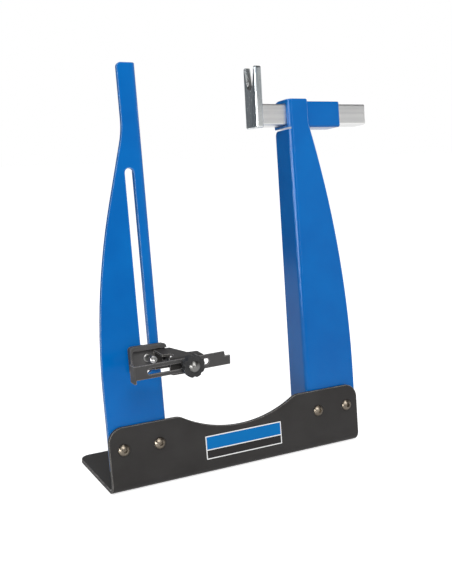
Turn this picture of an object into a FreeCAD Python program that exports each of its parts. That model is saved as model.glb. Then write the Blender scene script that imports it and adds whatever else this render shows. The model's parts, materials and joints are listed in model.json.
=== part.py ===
import FreeCAD, Part
import math
import os
import re
import Sketcher

# Bicycle wheel truing stand: a folded steel base, two leaning steel uprights, a sliding axle support
# on the right and a sliding rim gauge on the left. Millimetres.
#
# Everything that leans is drawn in the frame of the leaning flange: x to the right from the base's
# left end, u up along the lean, n backwards, square to the flange's front face. A seated object's own
# axes are x, u and minus n. The origin of the model is the middle of the foot's underside.

doc = FreeCAD.newDocument("TruingStand")
Vector = FreeCAD.Vector
Rotation = FreeCAD.Rotation
Placement = FreeCAD.Placement

# ---------------------------------------------------------------- driving dimensions

SHEET = [
    ("lean", 8.33, "angle of the flange and uprights from the vertical, degrees"),
    ("sheet", 4.76, "steel plate thickness, 3/16 inch"),
    ("edge_soft", 0.5, "broken edge of a powder-coated plate"),
    ("base_length", 342, "base, left end to right end"),
    ("foot_depth", 123.7, "foot, from the sharp front corner back"),
    ("foot_corner", 13, "rear corner radius of the foot"),
    ("base_bend", 12, "outer radius of the fold between foot and flange"),
    ("flange_height", 78.4, "flange, up along the lean"),
    ("flange_corner", 17.5, "outer top corner radius of the flange"),
    ("cutout_centre", 168.3, "wheel cut-out, middle, from the left end"),
    ("cutout_radius", 150, "wheel cut-out, radius of its arc"),
    ("cutout_depth", 22.7, "wheel cut-out, below the flange's top"),
    ("cutout_shoulder", 22, "rounding where the cut-out meets the top edge"),
    ("screw_up", 52, "height of the base screws along the lean"),
    ("screw_outer", 154, "outer screws, from the middle of the base"),
    ("screw_inner", 110, "inner screws, from the middle of the base"),
    ("screw_size", 8, "base screws, thread"),
    ("screw_hole", 8.4, "base screws, clearance hole"),
    ("screw_head", 14, "base screws, head diameter"),
    ("screw_dome", 4.4, "base screws, head height"),
    ("screw_key", 5, "base screws, hex socket across flats"),
    ("screw_shank", 18.5, "base screws, length below the head"),
    ("nut_flats", 13, "base nuts, across flats"),
    ("nut_height", 6.5, "base nuts, height"),
    ("nut_face", 0.6, "base nuts, raised bearing face"),
    ("upright_foot", 28.4, "lower end of both uprights along the lean"),
    ("upright_bend", 6, "outer radius of the fold along each upright"),
    ("left_inner", 74, "left upright, inner face"),
    ("left_outer", 1.3, "left upright, outer edge at the base"),
    ("left_top", 480.4, "left upright, top"),
    ("left_belly_up", 118, "left upright, where its outer edge starts to curve in"),
    ("left_belly_radius", 795, "left upright, radius of its outer edge"),
    ("left_slant", 15.46, "left upright, slant of its outer edge above the curve, degrees"),
    ("tongue_outer", 51.3, "left upright, outer edge of the tongue"),
    ("tongue_neck", 95, "left upright, radius into the tongue"),
    ("tongue_corner", 5, "left upright, top corner of the tongue"),
    ("left_return", 33.5, "left upright, rear edge of its return flange"),
    ("left_ear", 39.6, "left upright, rear edge beside the axle notch"),
    ("left_ear_up", 400, "left upright, where the return flange starts to widen"),
    ("left_ear_rise", 30, "left upright, height over which it widens"),
    ("slot_centre", 55.3, "gauge slot, centre line"),
    ("slot_width", 10.6, "gauge slot, width"),
    ("slot_top", 366, "gauge slot, top end"),
    ("slot_foot", 134.3, "gauge slot, bottom end"),
    ("right_inner", 269.3, "right upright, inner face"),
    ("right_outer", 342.2, "right upright, outer edge at the base"),
    ("right_belly_up", 90, "right upright, where its outer edge starts to curve in"),
    ("right_belly_radius", 1170, "right upright, radius of its outer edge"),
    ("right_return_foot", 46.3, "right upright, rear edge of its return flange at the foot"),
    ("right_return_top", 40, "right upright, rear edge of its return flange at the top"),
    ("right_return_end", 407.4, "right upright, top of its return flange below the slit"),
    ("right_return_corner", 6, "right upright, rear corner radius under the slit"),
    ("slit", 1.9, "slit between the return flange and the collar"),
    ("slit_front", 6.2, "slit, front end"),
    ("collar_top", 443.2, "collar, top"),
    ("collar_corner", 13, "collar, top rear corner radius"),
    ("tab_outer", 296.5, "collar, right edge of its front tab"),
    ("tab_corner", 2.5, "collar, top corner radius of its front tab"),
    ("slide_up", 425.2, "sliding axle support, centre line along the lean"),
    ("window", 26.2, "square window for the slider"),
    ("sleeve_size", 31.75, "sleeve, outside, 1 1/4 inch square tube"),
    ("sleeve_wall", 3, "sleeve, wall"),
    ("sleeve_corner", 3, "sleeve, outer corner radius"),
    ("sleeve_end", 347.3, "sleeve, right end"),
    ("slider_size", 25.4, "slider, outside, 1 inch square tube"),
    ("slider_wall", 2, "slider, wall"),
    ("slider_corner", 2.2, "slider, outer corner radius"),
    ("slider_end", 389.8, "slider, right end"),
    ("plug_fit", 0.1, "end plug, clearance in the slider"),
    ("plug_depth", 12, "end plug, depth"),
    ("plug_sunk", 0.8, "end plug, how far its face lies inside the end"),
    ("plug_wall", 2, "end plug, wall"),
    ("dropout_left", 227.2, "axle support plate, left face"),
    ("dropout_thick", 9.5, "axle support plate, thickness"),
    ("dropout_width", 28.6, "axle support plate, width"),
    ("dropout_foot", 409.9, "axle support plate, bottom"),
    ("dropout_top", 482.7, "axle support plate, top"),
    ("dropout_corner", 2.5, "axle support plate, corner radius"),
    ("dropout_turn", 2.3, "axle support plate, how much more upright it stands, degrees"),
    ("dropout_edge", 1.8, "axle support plate, rounded front edges"),
    ("notch_foot", 457.3, "axle notches, lowest point"),
    ("notch_half", 12.5, "axle notches, half angle, degrees"),
    ("notch_round", 5, "axle notches, radius at the bottom"),
    ("notch_chamfer", 2.1, "axle notch of the sliding plate, chamfer towards the wheel"),
    ("notch_flare", 3.2, "axle notch of the sliding plate, chamfer away from the wheel"),
    ("prong_tip", 1.6, "rounding of the prong tips"),
    ("drag_along", 312, "slider drag screw, from the base's left end"),
    ("drag_size", 6, "slider drag screw, thread"),
    ("drag_screw_length", 8, "slider drag screw, length"),
    ("drag_pad_length", 2, "slider drag pad, length"),
    ("drag_nut_flats", 10, "slider drag screw, locknut across flats"),
    ("drag_nut_height", 3, "slider drag screw, locknut height"),
    ("label_left", 119, "label, left edge"),
    ("label_foot", 20, "label, bottom edge"),
    ("label_width", 105, "label, width"),
    ("label_height", 28.4, "label, height"),
    ("label_thick", 0.25, "label, thickness"),
    ("gauge_gap", 0.3, "clearance between the gauge and the upright"),
    ("bolt_up", 152.7, "gauge bolt, height along the lean"),
    ("bracket_left", 33.5, "gauge bracket, left end"),
    ("bracket_width", 44.5, "gauge bracket, width"),
    ("bracket_foot", 138, "gauge bracket, bottom"),
    ("bracket_top", 167.8, "gauge bracket, top"),
    ("bracket_depth", 8.7, "gauge bracket, depth"),
    ("bracket_back", 3, "gauge bracket, back plate"),
    ("bracket_rim", 5.5, "gauge bracket, top rim"),
    ("bracket_side", 2.6, "gauge bracket, left wall"),
    ("bracket_corner", 4.5, "gauge bracket, top corner radius"),
    ("bracket_edge", 1, "gauge bracket, rounded rim edge"),
    ("guide_width", 10, "slot guide, width"),
    ("guide_height", 20, "slot guide, height"),
    ("guide_short", 0.3, "slot guide, short of the upright's rear face"),
    ("clamp_bolt_size", 8, "gauge bolt, thread"),
    ("clamp_bolt_front", 23, "gauge bolt, in front of the bracket's rear face"),
    ("clamp_bolt_rear", 22, "gauge bolt, behind the bracket's rear face"),
    ("clamp_bolt_collar", 8.6, "gauge bolt, collar diameter"),
    ("clamp_bolt_collar_thick", 1.2, "gauge bolt, collar thickness"),
    ("clamp_bolt_key", 4, "gauge bolt, hex socket across flats"),
    ("clamp_washer_size", 20, "gauge clamp washer, diameter"),
    ("clamp_washer_thick", 1.6, "gauge clamp washer, thickness"),
    ("run_fit", 0.05, "running clearance of a knob on its bolt, all round"),
    ("clamp_knob_size", 26, "rear clamp knob, over its lobes"),
    ("clamp_knob_depth", 13, "rear clamp knob, depth"),
    ("clamp_insert_size", 12, "rear clamp knob, brass insert diameter"),
    ("arm_left", 62.5, "gauge arm, left edge"),
    ("arm_right", 104, "gauge arm, right edge"),
    ("arm_sheet", 2.5, "gauge arm, sheet thickness"),
    ("arm_shelf", 160, "gauge arm, top of its level shelf, above the bench"),
    ("arm_front", 24.2, "gauge arm, front face of its flange, ahead of the base's front corner"),
    ("arm_foot", 141.2, "gauge arm, bottom of its front flange, above the bench"),
    ("arm_tab_foot", 138, "gauge arm, lower edge of its rear tab"),
    ("arm_bend", 3.6, "gauge arm, outer bend radius"),
    ("arm_bend_inner", 0.5, "gauge arm, inner bend radius"),
    ("arm_corner", 4, "gauge arm, corner radius of its front flange"),
    ("arm_neck_slope", 0.36, "gauge arm, how fast its neck widens forwards"),
    ("arm_neck_front", 90.7, "gauge arm, right edge of its neck at the head"),
    ("arm_head_rear", 6, "gauge arm, rear edge of its head, ahead of the base's front corner"),
    ("arm_relief_reach", 11, "gauge arm, relief in its left edge, how far it reaches in"),
    ("arm_relief_rear", 3.3, "gauge arm, relief, rear edge, ahead of the base's front corner"),
    ("arm_relief_front", 19.5, "gauge arm, relief, where its slanted edge meets the left edge"),
    ("arm_relief_round", 4.3, "gauge arm, relief, radius of its end"),
    ("arm_relief_turn", 40, "gauge arm, relief, where its round end runs into the slant, degrees"),
    ("rivet_along", 75, "arm rivets, from the base's left end"),
    ("rivet_size", 3.2, "arm rivets, shank"),
    ("rivet_head", 6, "arm rivets, head diameter"),
    ("rivet_dome", 1.6, "arm rivets, head height"),
    ("blade_bolt_along", 85.2, "blade bolt, from the base's left end"),
    ("blade_bolt_up", 152.3, "blade bolt, height above the bench"),
    ("blade_bolt_size", 5, "blade bolt, thread"),
    ("blade_bolt_head", 6.4, "blade bolt, head diameter"),
    ("blade_bolt_head_thick", 3.2, "blade bolt, head height"),
    ("blade_bolt_length", 16.5, "blade bolt, length below the head"),
    ("blade_guide_size", 14, "blade guide, flange diameter"),
    ("blade_guide_thick", 1.2, "blade guide, flange thickness"),
    ("blade_guide_tongue", 12, "blade guide, length of its tongue in the slot"),
    ("blade_thick", 2.5, "gauge blade, thickness"),
    ("blade_height", 15.8, "gauge blade, height"),
    ("blade_tilt", 1.2, "gauge blade, tilt as set, degrees"),
    ("blade_reach_left", 66.7, "gauge blade, left of its bolt"),
    ("blade_reach_right", 49.5, "gauge blade, right of its bolt"),
    ("blade_tip_length", 7.2, "gauge blade, length of the stepped tip"),
    ("blade_step", 5.2, "gauge blade, drop of the step"),
    ("blade_slot_width", 7, "gauge blade, slot width"),
    ("blade_slot_left", 51.2, "gauge blade, slot end left of the bolt"),
    ("blade_slot_right", 22.9, "gauge blade, slot end right of the bolt"),
    ("blade_tab_depth", 12, "gauge blade, depth of its bent end"),
    ("blade_bend", 1.8, "gauge blade, outer radius of its bend"),
    ("blade_tab_drop", 4.2, "gauge blade, how far its bent end hangs below it"),
    ("blade_washer_size", 14, "blade washer, diameter"),
    ("blade_washer_thick", 1.2, "blade washer, thickness"),
    ("star_knob_size", 25.5, "star knob, over its lobes"),
    ("star_knob_depth", 9, "star knob, depth of the lobed part"),
    ("star_cap_size", 13, "star knob, cap diameter"),
    ("star_cap_height", 4, "star knob, cap height"),
    ("star_insert_size", 8, "star knob, brass insert diameter"),
    ("star_insert_depth", 6, "star knob, brass insert depth"),
]
NAMES = {alias for alias, value, meaning in SHEET}

sizes = doc.addObject("Spreadsheet::Sheet", "Sizes")
for row, (alias, value, meaning) in enumerate(SHEET, 1):
    sizes.set(f"A{row}", meaning)
    sizes.set(f"B{row}", str(value))
    sizes.setAlias(f"B{row}", alias)
doc.recompute()


def bound(expression):
    """An expression with every alias in it read from the sheet."""
    def from_sheet(word):
        return "Sizes." + word.group() if word.group() in NAMES else word.group()
    return re.sub(r"[a-z][a-z_]*", from_sheet, str(expression))


def read(expression):
    """The number that an expression gives with the sheet's present values."""
    return float(sizes.evalExpression(bound(expression)))


# ---------------------------------------------------------------- placing and drawing

def seat(thing, along="0", up="0", back="0", tilt="0", place="Placement"):
    """Stand an object in the leaning frame: its axes become x, u and minus n."""
    stand_up = Rotation(Vector(1, 0, 0), read("90 - lean"))
    turn = Rotation(Vector(0, 0, 1), read(tilt))
    setattr(thing, place, Placement(Vector(), stand_up.multiply(turn)))
    if tilt == "0":
        thing.setExpression(f"{place}.Rotation.Angle", bound("90 - lean"))
    thing.setExpression(f"{place}.Base.x", bound(f"({along}) - base_length / 2"))
    thing.setExpression(
        f"{place}.Base.y", bound(f"({up}) * sin(lean) + ({back}) * cos(lean) - foot_depth / 2"))
    thing.setExpression(
        f"{place}.Base.z", bound(f"({up}) * cos(lean) - ({back}) * sin(lean)"))


def seat_level(thing, along="0", up="0", back="0", tilt="0"):
    """Stand an object level: its axes become x, upwards and forwards."""
    stand_up = Rotation(Vector(1, 0, 0), 90)
    thing.Placement = Placement(Vector(), stand_up.multiply(Rotation(Vector(0, 0, 1), read(tilt))))
    thing.setExpression("Placement.Base.x", bound(f"({along}) - base_length / 2"))
    thing.setExpression("Placement.Base.y", bound(f"({back}) - foot_depth / 2"))
    thing.setExpression("Placement.Base.z", bound(up))


def new_body(name):
    body = doc.addObject("PartDesign::Body", name + "_body")
    body.Label = name
    return body


def new_sketch(body, name, plane, lift="0", turn=None):
    """A sketch on one of the body's own origin planes, lifted along its normal."""
    role = plane + "_Plane"
    support = [feature for feature in body.Origin.OriginFeatures if feature.Role == role][0]
    drawing = body.newObject("Sketcher::SketchObject", name)
    drawing.AttachmentSupport = (support, [""])
    drawing.MapMode = "FlatFace"
    if turn:
        drawing.AttachmentOffset = Placement(Vector(), Rotation(Vector(1, 0, 0), read(turn)))
        drawing.setExpression("AttachmentOffset.Rotation.Angle", bound(turn))
    drawing.setExpression("AttachmentOffset.Base.z", bound(lift))
    return drawing


def hold(drawing, kind, *where, size):
    """A driving dimension whose value comes from the sheet."""
    index = drawing.addConstraint(Sketcher.Constraint(kind, *where, read(size)))
    drawing.setExpression(f"Constraints[{index}]", bound(size))


def arc_between(start, end, radius):
    """The short arc from start to end. It turns left on the way for a positive radius."""
    chord = end - start
    left = Vector(-chord.y, chord.x, 0).normalize() * math.copysign(1, radius)
    rise = math.sqrt(max(radius ** 2 - chord.Length ** 2 / 4, 0))
    outermost = (start + end) / 2 + left * (rise - abs(radius))
    return Part.Arc(start, outermost, end) if radius > 0 else Part.Arc(end, outermost, start)


def ends_of(drawing, index, start):
    """Which end of an edge is its start, and which its end."""
    edge = drawing.Geometry[index]
    forwards = (edge.StartPoint - start).Length < (edge.EndPoint - start).Length
    return (1, 2) if forwards else (2, 1)


def draw_outline(drawing, corners):
    """A closed outline. A corner is (x, y), or (x, y, radius) where an arc leads to it."""
    points = [Vector(read(corner[0]), read(corner[1]), 0) for corner in corners]
    first, count = drawing.GeometryCount, len(corners)
    for index, start in enumerate(points):
        after = (index + 1) % count
        radius = read(corners[after][2]) if len(corners[after]) == 3 else 0
        edge = arc_between(start, points[after], radius) if radius else Part.LineSegment(
            start, points[after])
        drawing.addGeometry(edge, False)
    for index, start in enumerate(points):
        after = (index + 1) % count
        start_end, far_end = ends_of(drawing, first + index, start)
        next_end = ends_of(drawing, first + after, points[after])[0]
        drawing.addConstraint(Sketcher.Constraint(
            "Coincident", first + index, far_end, first + after, next_end))
        hold(drawing, "DistanceX", -1, 1, first + index, start_end, size=corners[index][0])
        hold(drawing, "DistanceY", -1, 1, first + index, start_end, size=corners[index][1])
        if len(corners[after]) == 3:
            hold(drawing, "Radius", first + index, size=f"abs({corners[after][2]})")


def draw_circle(drawing, across, upward, diameter):
    circle = Part.Circle(Vector(read(across), read(upward), 0), Vector(0, 0, 1), read(diameter) / 2)
    index = drawing.addGeometry(circle, False)
    hold(drawing, "DistanceX", -1, 1, index, 3, size=across)
    hold(drawing, "DistanceY", -1, 1, index, 3, size=upward)
    hold(drawing, "Diameter", index, size=diameter)


def draw_box(drawing, left, foot, width, height, corner):
    """A rectangle with round corners."""
    right, top = f"({left}) + {width}", f"({foot}) + {height}"
    draw_outline(drawing, [
        (f"({left}) + {corner}", foot, corner),
        (f"{right} - {corner}", foot),
        (right, f"({foot}) + {corner}", corner),
        (right, f"{top} - {corner}"),
        (f"{right} - {corner}", top, corner),
        (f"({left}) + {corner}", top),
        (left, f"{top} - {corner}", corner),
        (left, f"({foot}) + {corner}")])


def draw_square(drawing, middle, size, corner):
    """A square with round corners, about a point on the sketch's y axis or its origin."""
    draw_box(drawing, f"{middle[0]} - {size} / 2", f"{middle[1]} - {size} / 2", size, size, corner)


def draw_slot(drawing, left, foot, width, height):
    """A slot with round ends, upright where it is taller than wide."""
    right, top = f"({left}) + {width}", f"({foot}) + {height}"
    if read(height) > read(width):
        end, middle = f"({width}) / 2", f"({left}) + ({width}) / 2"
        corners = [
            (left, f"{top} - {end}", end),
            (left, f"({foot}) + {end}"),
            (middle, foot, end),
            (right, f"({foot}) + {end}", end),
            (right, f"{top} - {end}"),
            (middle, top, end)]
    else:
        end, middle = f"({height}) / 2", f"({foot}) + ({height}) / 2"
        corners = [
            (f"({left}) + {end}", foot, end),
            (f"{right} - {end}", foot),
            (right, middle, end),
            (f"{right} - {end}", top, end),
            (f"({left}) + {end}", top),
            (left, middle, end)]
    draw_outline(drawing, corners)


def draw_hexagon(drawing, flats):
    """A hexagon about the origin with two flats square to x."""
    side = f"{flats} / 2 / cos(30)"
    turns = [30 + 60 * step for step in range(6)]
    draw_outline(drawing, [(f"{side} * cos({turn})", f"{side} * sin({turn})") for turn in turns])


def pad(body, drawing, length, backwards=False, name="Pad"):
    feature = body.newObject("PartDesign::Pad", name)
    feature.Profile = drawing
    feature.setExpression("Length", bound(length))
    feature.Reversed = backwards
    return feature


def pocket(body, drawing, length, backwards=False, name="Pocket"):
    """Cut against the sketch's normal, or along it when backwards. It has to remove something."""
    doc.recompute()
    before = body.Shape.Volume
    feature = body.newObject("PartDesign::Pocket", name)
    feature.Profile = drawing
    feature.setExpression("Length", bound(length))
    feature.Reversed = backwards
    doc.recompute()
    if body.Shape.Volume > before - 1e-3:
        raise RuntimeError(f"{body.Label}: {name} cuts nothing")
    return feature


def turned_body(name, outline):
    """A body of revolution about its own z: the outline's x is a radius."""
    body = new_body(name)
    drawing = new_sketch(body, "section", "XZ")
    draw_outline(drawing, outline)
    feature = body.newObject("PartDesign::Revolution", "Turn")
    feature.Profile = drawing
    feature.ReferenceAxis = (drawing, ["V_Axis"])
    feature.Angle = 360
    return body


def ring_body(name, low, thick, outer, bore):
    """A plain ring about its own z."""
    return turned_body(name, [
        (f"{bore} / 2", low), (f"{outer} / 2", low),
        (f"{outer} / 2", f"{low} + {thick}"), (f"{bore} / 2", f"{low} + {thick}")])


def cut_key(body, flats, top, depth):
    """A hex socket in the end of a screw."""
    drawing = new_sketch(body, "key", "XY", lift=top)
    draw_hexagon(drawing, flats)
    pocket(body, drawing, depth, name="Key")


def middle_of(edge):
    return edge.valueAt((edge.FirstParameter + edge.LastParameter) / 2)


def edges_at(body, places):
    """The edges whose middles lie at the places, given in the body's own axes."""
    doc.recompute()
    return [f"Edge{index}" for index, edge in enumerate(body.Tip.Shape.Edges, 1)
            if any((middle_of(edge) - Vector(*place)).Length < 0.4 for place in places)]


def edges_in(body, axis, height):
    """The edges that lie wholly at one height along an axis of the body."""
    doc.recompute()
    found = []
    for index, edge in enumerate(body.Tip.Shape.Edges, 1):
        box = edge.BoundBox
        if max(abs(getattr(box, axis + end) - height) for end in ("Min", "Max")) < 1e-3:
            found.append(f"Edge{index}")
    return found


def soften(body, size, edges, name, kind="Fillet"):
    """Round or chamfer edges of the body's latest feature."""
    if not edges:
        raise RuntimeError(f"{body.Label}: {name} finds no edges")
    base = body.Tip
    feature = body.newObject("PartDesign::" + kind, name)
    feature.Base = (base, edges)
    feature.setExpression("Radius" if kind == "Fillet" else "Size", bound(size))
    doc.recompute()
    return feature


# ---------------------------------------------------------------- base

def make_base_plate():
    """One plate, folded up into a foot and a leaning flange with a cut-out for the wheel."""
    body = new_body("base_plate")
    body.setExpression("Placement.Base.x", bound("-base_length / 2"))
    body.setExpression("Placement.Base.y", bound("-foot_depth / 2"))
    start = "base_bend * tan(45 + lean / 2)"
    inner = "(base_bend - sheet)"
    section = new_sketch(body, "fold", "YZ")
    draw_outline(section, [
        ("foot_depth", "0"),
        (start, "0"),
        (f"{start} * sin(lean)", f"{start} * cos(lean)", "-base_bend"),
        ("flange_height * sin(lean)", "flange_height * cos(lean)"),
        ("flange_height * sin(lean) + sheet * cos(lean)",
         "flange_height * cos(lean) - sheet * sin(lean)"),
        (f"{start} - {inner} * cos(lean)", f"base_bend + {inner} * sin(lean)"),
        (start, "sheet", inner),
        ("foot_depth", "sheet")])
    pad(body, section, "base_length")

    half = "sqrt(2 * cutout_radius * cutout_depth - cutout_depth * cutout_depth)"
    cutout = new_sketch(body, "wheel_cutout", "XZ", turn="-lean")
    draw_outline(cutout, [
        (f"cutout_centre - {half}", "flange_height"),
        (f"cutout_centre + {half}", "flange_height", "cutout_radius"),
        (f"cutout_centre + {half}", "flange_height + sheet"),
        (f"cutout_centre - {half}", "flange_height + sheet")])
    pocket(body, cutout, "2 * sheet", name="Cutout")

    holes = new_sketch(body, "screw_holes", "XZ", turn="-lean")
    for place in SCREW_PLACES:
        draw_circle(holes, place, "screw_up", "screw_hole")
    pocket(body, holes, "2 * sheet", name="ScrewHoles")

    def top_edge(along):
        up, back, lean = read("flange_height"), read("sheet / 2"), math.radians(read("lean"))
        return (along, up * math.sin(lean) + back * math.cos(lean),
                up * math.cos(lean) - back * math.sin(lean))

    ends = [0, read("base_length")]
    mouth = [read(f"cutout_centre {side} {half}") for side in "-+"]
    soften(body, "flange_corner", edges_at(body, [top_edge(x) for x in ends]), "FlangeCorners")
    soften(body, "cutout_shoulder", edges_at(body, [top_edge(x) for x in mouth]), "Shoulders")
    rear = [(x, read("foot_depth"), read("sheet / 2")) for x in ends]
    soften(body, "foot_corner", edges_at(body, rear), "FootCorners")
    return body


def make_front_label():
    """A plain two-band label, stuck on the flange."""
    body = new_body("front_label")
    seat(body, along="label_left", up="label_foot")
    drawing = new_sketch(body, "outline", "XY")
    draw_box(drawing, "0", "0", "label_width", "label_height", "edge_soft")
    pad(body, drawing, "label_thick")
    return body


# ---------------------------------------------------------------- uprights

def draw_notch(drawing, middle, top, zero="0", spare="0"):
    """A V that opens along the sketch's x, with a round bottom; spare widens it all round."""
    round_, centre = f"(notch_round + {spare})", f"(notch_foot + notch_round - {zero})"
    low = f"({centre} - {round_} * sin(notch_half))"
    side = f"{round_} * cos(notch_half)"
    spread = f"({side} + ({top} + 1 - {low}) * tan(notch_half))"
    draw_outline(drawing, [
        (f"{top} + 1", f"{middle} - {spread}"),
        (f"{top} + 1", f"{middle} + {spread}"),
        (low, f"{middle} + {side}"),
        (low, f"{middle} - {side}", round_)])


def cut_screw_holes(body, places):
    holes = new_sketch(body, "screw_holes", "XY", lift="2 * sheet")
    for place in places:
        draw_circle(holes, place, "screw_up", "screw_hole")
    pocket(body, holes, "4 * sheet", name="ScrewHoles")


def make_left_upright():
    """A plate with a fold along its inner edge, a slot for the gauge and a notch for the axle."""
    body = new_body("left_upright")
    seat(body, back="2 * sheet")
    thin, ear, rear = "(upright_bend - sheet)", "(2 * sheet - left_ear)", "(2 * sheet - left_return)"
    section = new_sketch(body, "section", "XZ", lift="-upright_foot")
    draw_outline(section, [
        ("-sheet", "0"),
        ("left_inner - upright_bend", "0"),
        ("left_inner - sheet", f"-{thin}", f"-{thin}"),
        ("left_inner - sheet", ear),
        ("left_inner", ear),
        ("left_inner", f"-{thin}"),
        ("left_inner - upright_bend", "sheet", "upright_bend"),
        ("-sheet", "sheet")])
    pad(body, section, "left_top - upright_foot", backwards=True)

    arc_up = "(left_belly_up + left_belly_radius * sin(left_slant))"
    arc_in = "(left_outer + left_belly_radius * (1 - cos(left_slant)))"
    knee = f"({arc_up} + (tongue_outer - {arc_in}) / tan(left_slant))"
    neck = "tongue_neck * tan(left_slant / 2)"
    outer_edge = new_sketch(body, "outer_edge", "XY", lift="2 * sheet")
    draw_outline(outer_edge, [
        ("-2 * sheet", "upright_foot - 1"),
        ("left_outer", "upright_foot - 1"),
        ("left_outer", "left_belly_up"),
        (arc_in, arc_up, "-left_belly_radius"),
        (f"tongue_outer - {neck} * sin(left_slant)", f"{knee} - {neck} * cos(left_slant)"),
        ("tongue_outer", f"{knee} + {neck}", "tongue_neck"),
        ("tongue_outer", "left_top + 1"),
        ("-2 * sheet", "left_top + 1")])
    pocket(body, outer_edge, "4 * sheet", name="OuterEdge")

    slot = new_sketch(body, "gauge_slot", "XY", lift="2 * sheet")
    draw_slot(slot, "slot_centre - slot_width / 2", "slot_foot", "slot_width", "slot_top - slot_foot")
    pocket(body, slot, "4 * sheet", name="Slot")
    cut_screw_holes(body, SCREW_PLACES[:2])

    return_edge = new_sketch(body, "return_edge", "YZ", lift="left_inner + 1")
    draw_outline(return_edge, [
        ("upright_foot - 1", f"{ear} - 1"),
        ("left_ear_up + left_ear_rise", f"{ear} - 1"),
        ("left_ear_up + left_ear_rise", ear),
        ("left_ear_up", rear),
        ("upright_foot - 1", rear)])
    pocket(body, return_edge, "sheet + 2", name="ReturnEdge")
    notch = new_sketch(body, "axle_notch", "YZ", lift="left_inner + 1")
    draw_notch(notch, "-sleeve_size / 2", "left_top")
    pocket(body, notch, "sheet + 2", name="AxleNotch")

    top, middle = read("left_top"), read("sheet / 2")
    soften(body, "tongue_corner", edges_at(body, [(read("tongue_outer"), top, middle)]), "TongueCorner")
    return body


def make_right_upright():
    """A plate with a fold along its inner edge, slit under a collar that the slider goes through."""
    body = new_body("right_upright")
    seat(body, back="2 * sheet")
    thin = "(upright_bend - sheet)"
    foot_rear, top_rear = "(2 * sheet - right_return_foot)", "(2 * sheet - right_return_top)"
    beyond = "right_outer + sheet"
    section = new_sketch(body, "section", "XZ", lift="-upright_foot")
    draw_outline(section, [
        (beyond, "0"),
        (beyond, "sheet"),
        ("right_inner + upright_bend", "sheet"),
        ("right_inner", f"-{thin}", "upright_bend"),
        ("right_inner", foot_rear),
        ("right_inner + sheet", foot_rear),
        ("right_inner + sheet", f"-{thin}"),
        ("right_inner + upright_bend", "0", f"-{thin}")])
    pad(body, section, "collar_top - upright_foot", backwards=True)

    inset = "(right_outer - tab_outer)"
    tab_foot = f"right_belly_up + sqrt(2 * right_belly_radius * {inset} - {inset} * {inset})"
    outer_edge = new_sketch(body, "outer_edge", "XY", lift="2 * sheet")
    draw_outline(outer_edge, [
        ("right_outer + 2 * sheet", "upright_foot - 1"),
        ("right_outer + 2 * sheet", "collar_top + 1"),
        ("tab_outer", "collar_top + 1"),
        ("tab_outer", tab_foot),
        ("right_outer", "right_belly_up", "-right_belly_radius"),
        ("right_outer", "upright_foot - 1")])
    pocket(body, outer_edge, "4 * sheet", name="OuterEdge")
    cut_screw_holes(body, SCREW_PLACES[2:])

    collar_rear, slit_end = "(-sleeve_size)", "2 * sheet - slit_front"
    return_edge = new_sketch(body, "return_edge", "YZ", lift="right_inner + sheet + 1")
    draw_outline(return_edge, [
        ("upright_foot - 1", f"{foot_rear} - 1"),
        ("upright_foot - 1", foot_rear),
        ("right_return_end - right_return_corner", top_rear),
        ("right_return_end", f"{top_rear} + right_return_corner", "right_return_corner"),
        ("right_return_end", slit_end),
        ("right_return_end + slit", slit_end),
        ("right_return_end + slit", collar_rear),
        ("collar_top - collar_corner", collar_rear),
        ("collar_top", f"{collar_rear} + collar_corner", "collar_corner"),
        ("collar_top + 1", f"{collar_rear} + collar_corner"),
        ("collar_top + 1", f"{foot_rear} - 1")])
    pocket(body, return_edge, "sheet + 2", name="ReturnEdge")
    window = new_sketch(body, "slider_window", "YZ", lift="right_inner + sheet + 1")
    draw_square(window, ("slide_up", "-sleeve_size / 2"), "window", "slider_corner")
    pocket(body, window, "sheet + 2", name="Window")

    corner = (read("tab_outer"), read("collar_top"), read("sheet / 2"))
    soften(body, "tab_corner", edges_at(body, [corner]), "TabCorner")
    return body


# ---------------------------------------------------------------- base fasteners

def make_group(name, master, seats):
    """Copies of one piece, as separate solids of one node."""
    copies = []
    for number, (along, up, back) in enumerate(seats, 1):
        copy = doc.addObject("App::Link", f"{name}_{number}")
        copy.LinkedObject = master
        seat(copy, along, up, back, place="LinkPlacement")
        copies.append(copy)
    group = doc.addObject("Part::Compound", name + "_group")
    group.Label = name
    group.Links = copies
    return group


def make_base_screws():
    """Dome-headed screws with hex sockets."""
    rim = "screw_dome / 6"
    dome = f"(screw_dome - {rim})"
    radius = f"(screw_head * screw_head / 4 + {dome} * {dome}) / 2 / {dome}"
    screw = turned_body("one_base_screw", [
        ("0", "-screw_shank"),
        ("screw_size / 2 - edge_soft", "-screw_shank"),
        ("screw_size / 2", "edge_soft - screw_shank"),
        ("screw_size / 2", "0"),
        ("screw_head / 2", "0"),
        ("screw_head / 2", rim),
        ("0", "screw_dome", radius)])
    cut_key(screw, "screw_key", "screw_dome", "screw_dome * 0.6")
    return make_group("base_screws", screw, [(place, "screw_up", "0") for place in SCREW_PLACES])


def make_base_nuts():
    nut = new_body("one_base_nut")
    face = new_sketch(nut, "face", "XY")
    draw_circle(face, "0", "0", "nut_flats - 1")
    draw_circle(face, "0", "0", "screw_size")
    pad(nut, face, "nut_face", backwards=True, name="Face")
    hexagon = new_sketch(nut, "hexagon", "XY", lift="-nut_face")
    draw_hexagon(hexagon, "nut_flats")
    draw_circle(hexagon, "0", "0", "screw_size")
    pad(nut, hexagon, "nut_height", backwards=True, name="Hexagon")
    seats = [(place, "screw_up", "2 * sheet") for place in SCREW_PLACES]
    return make_group("base_nuts", nut, seats)


# ---------------------------------------------------------------- sliding axle support

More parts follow.
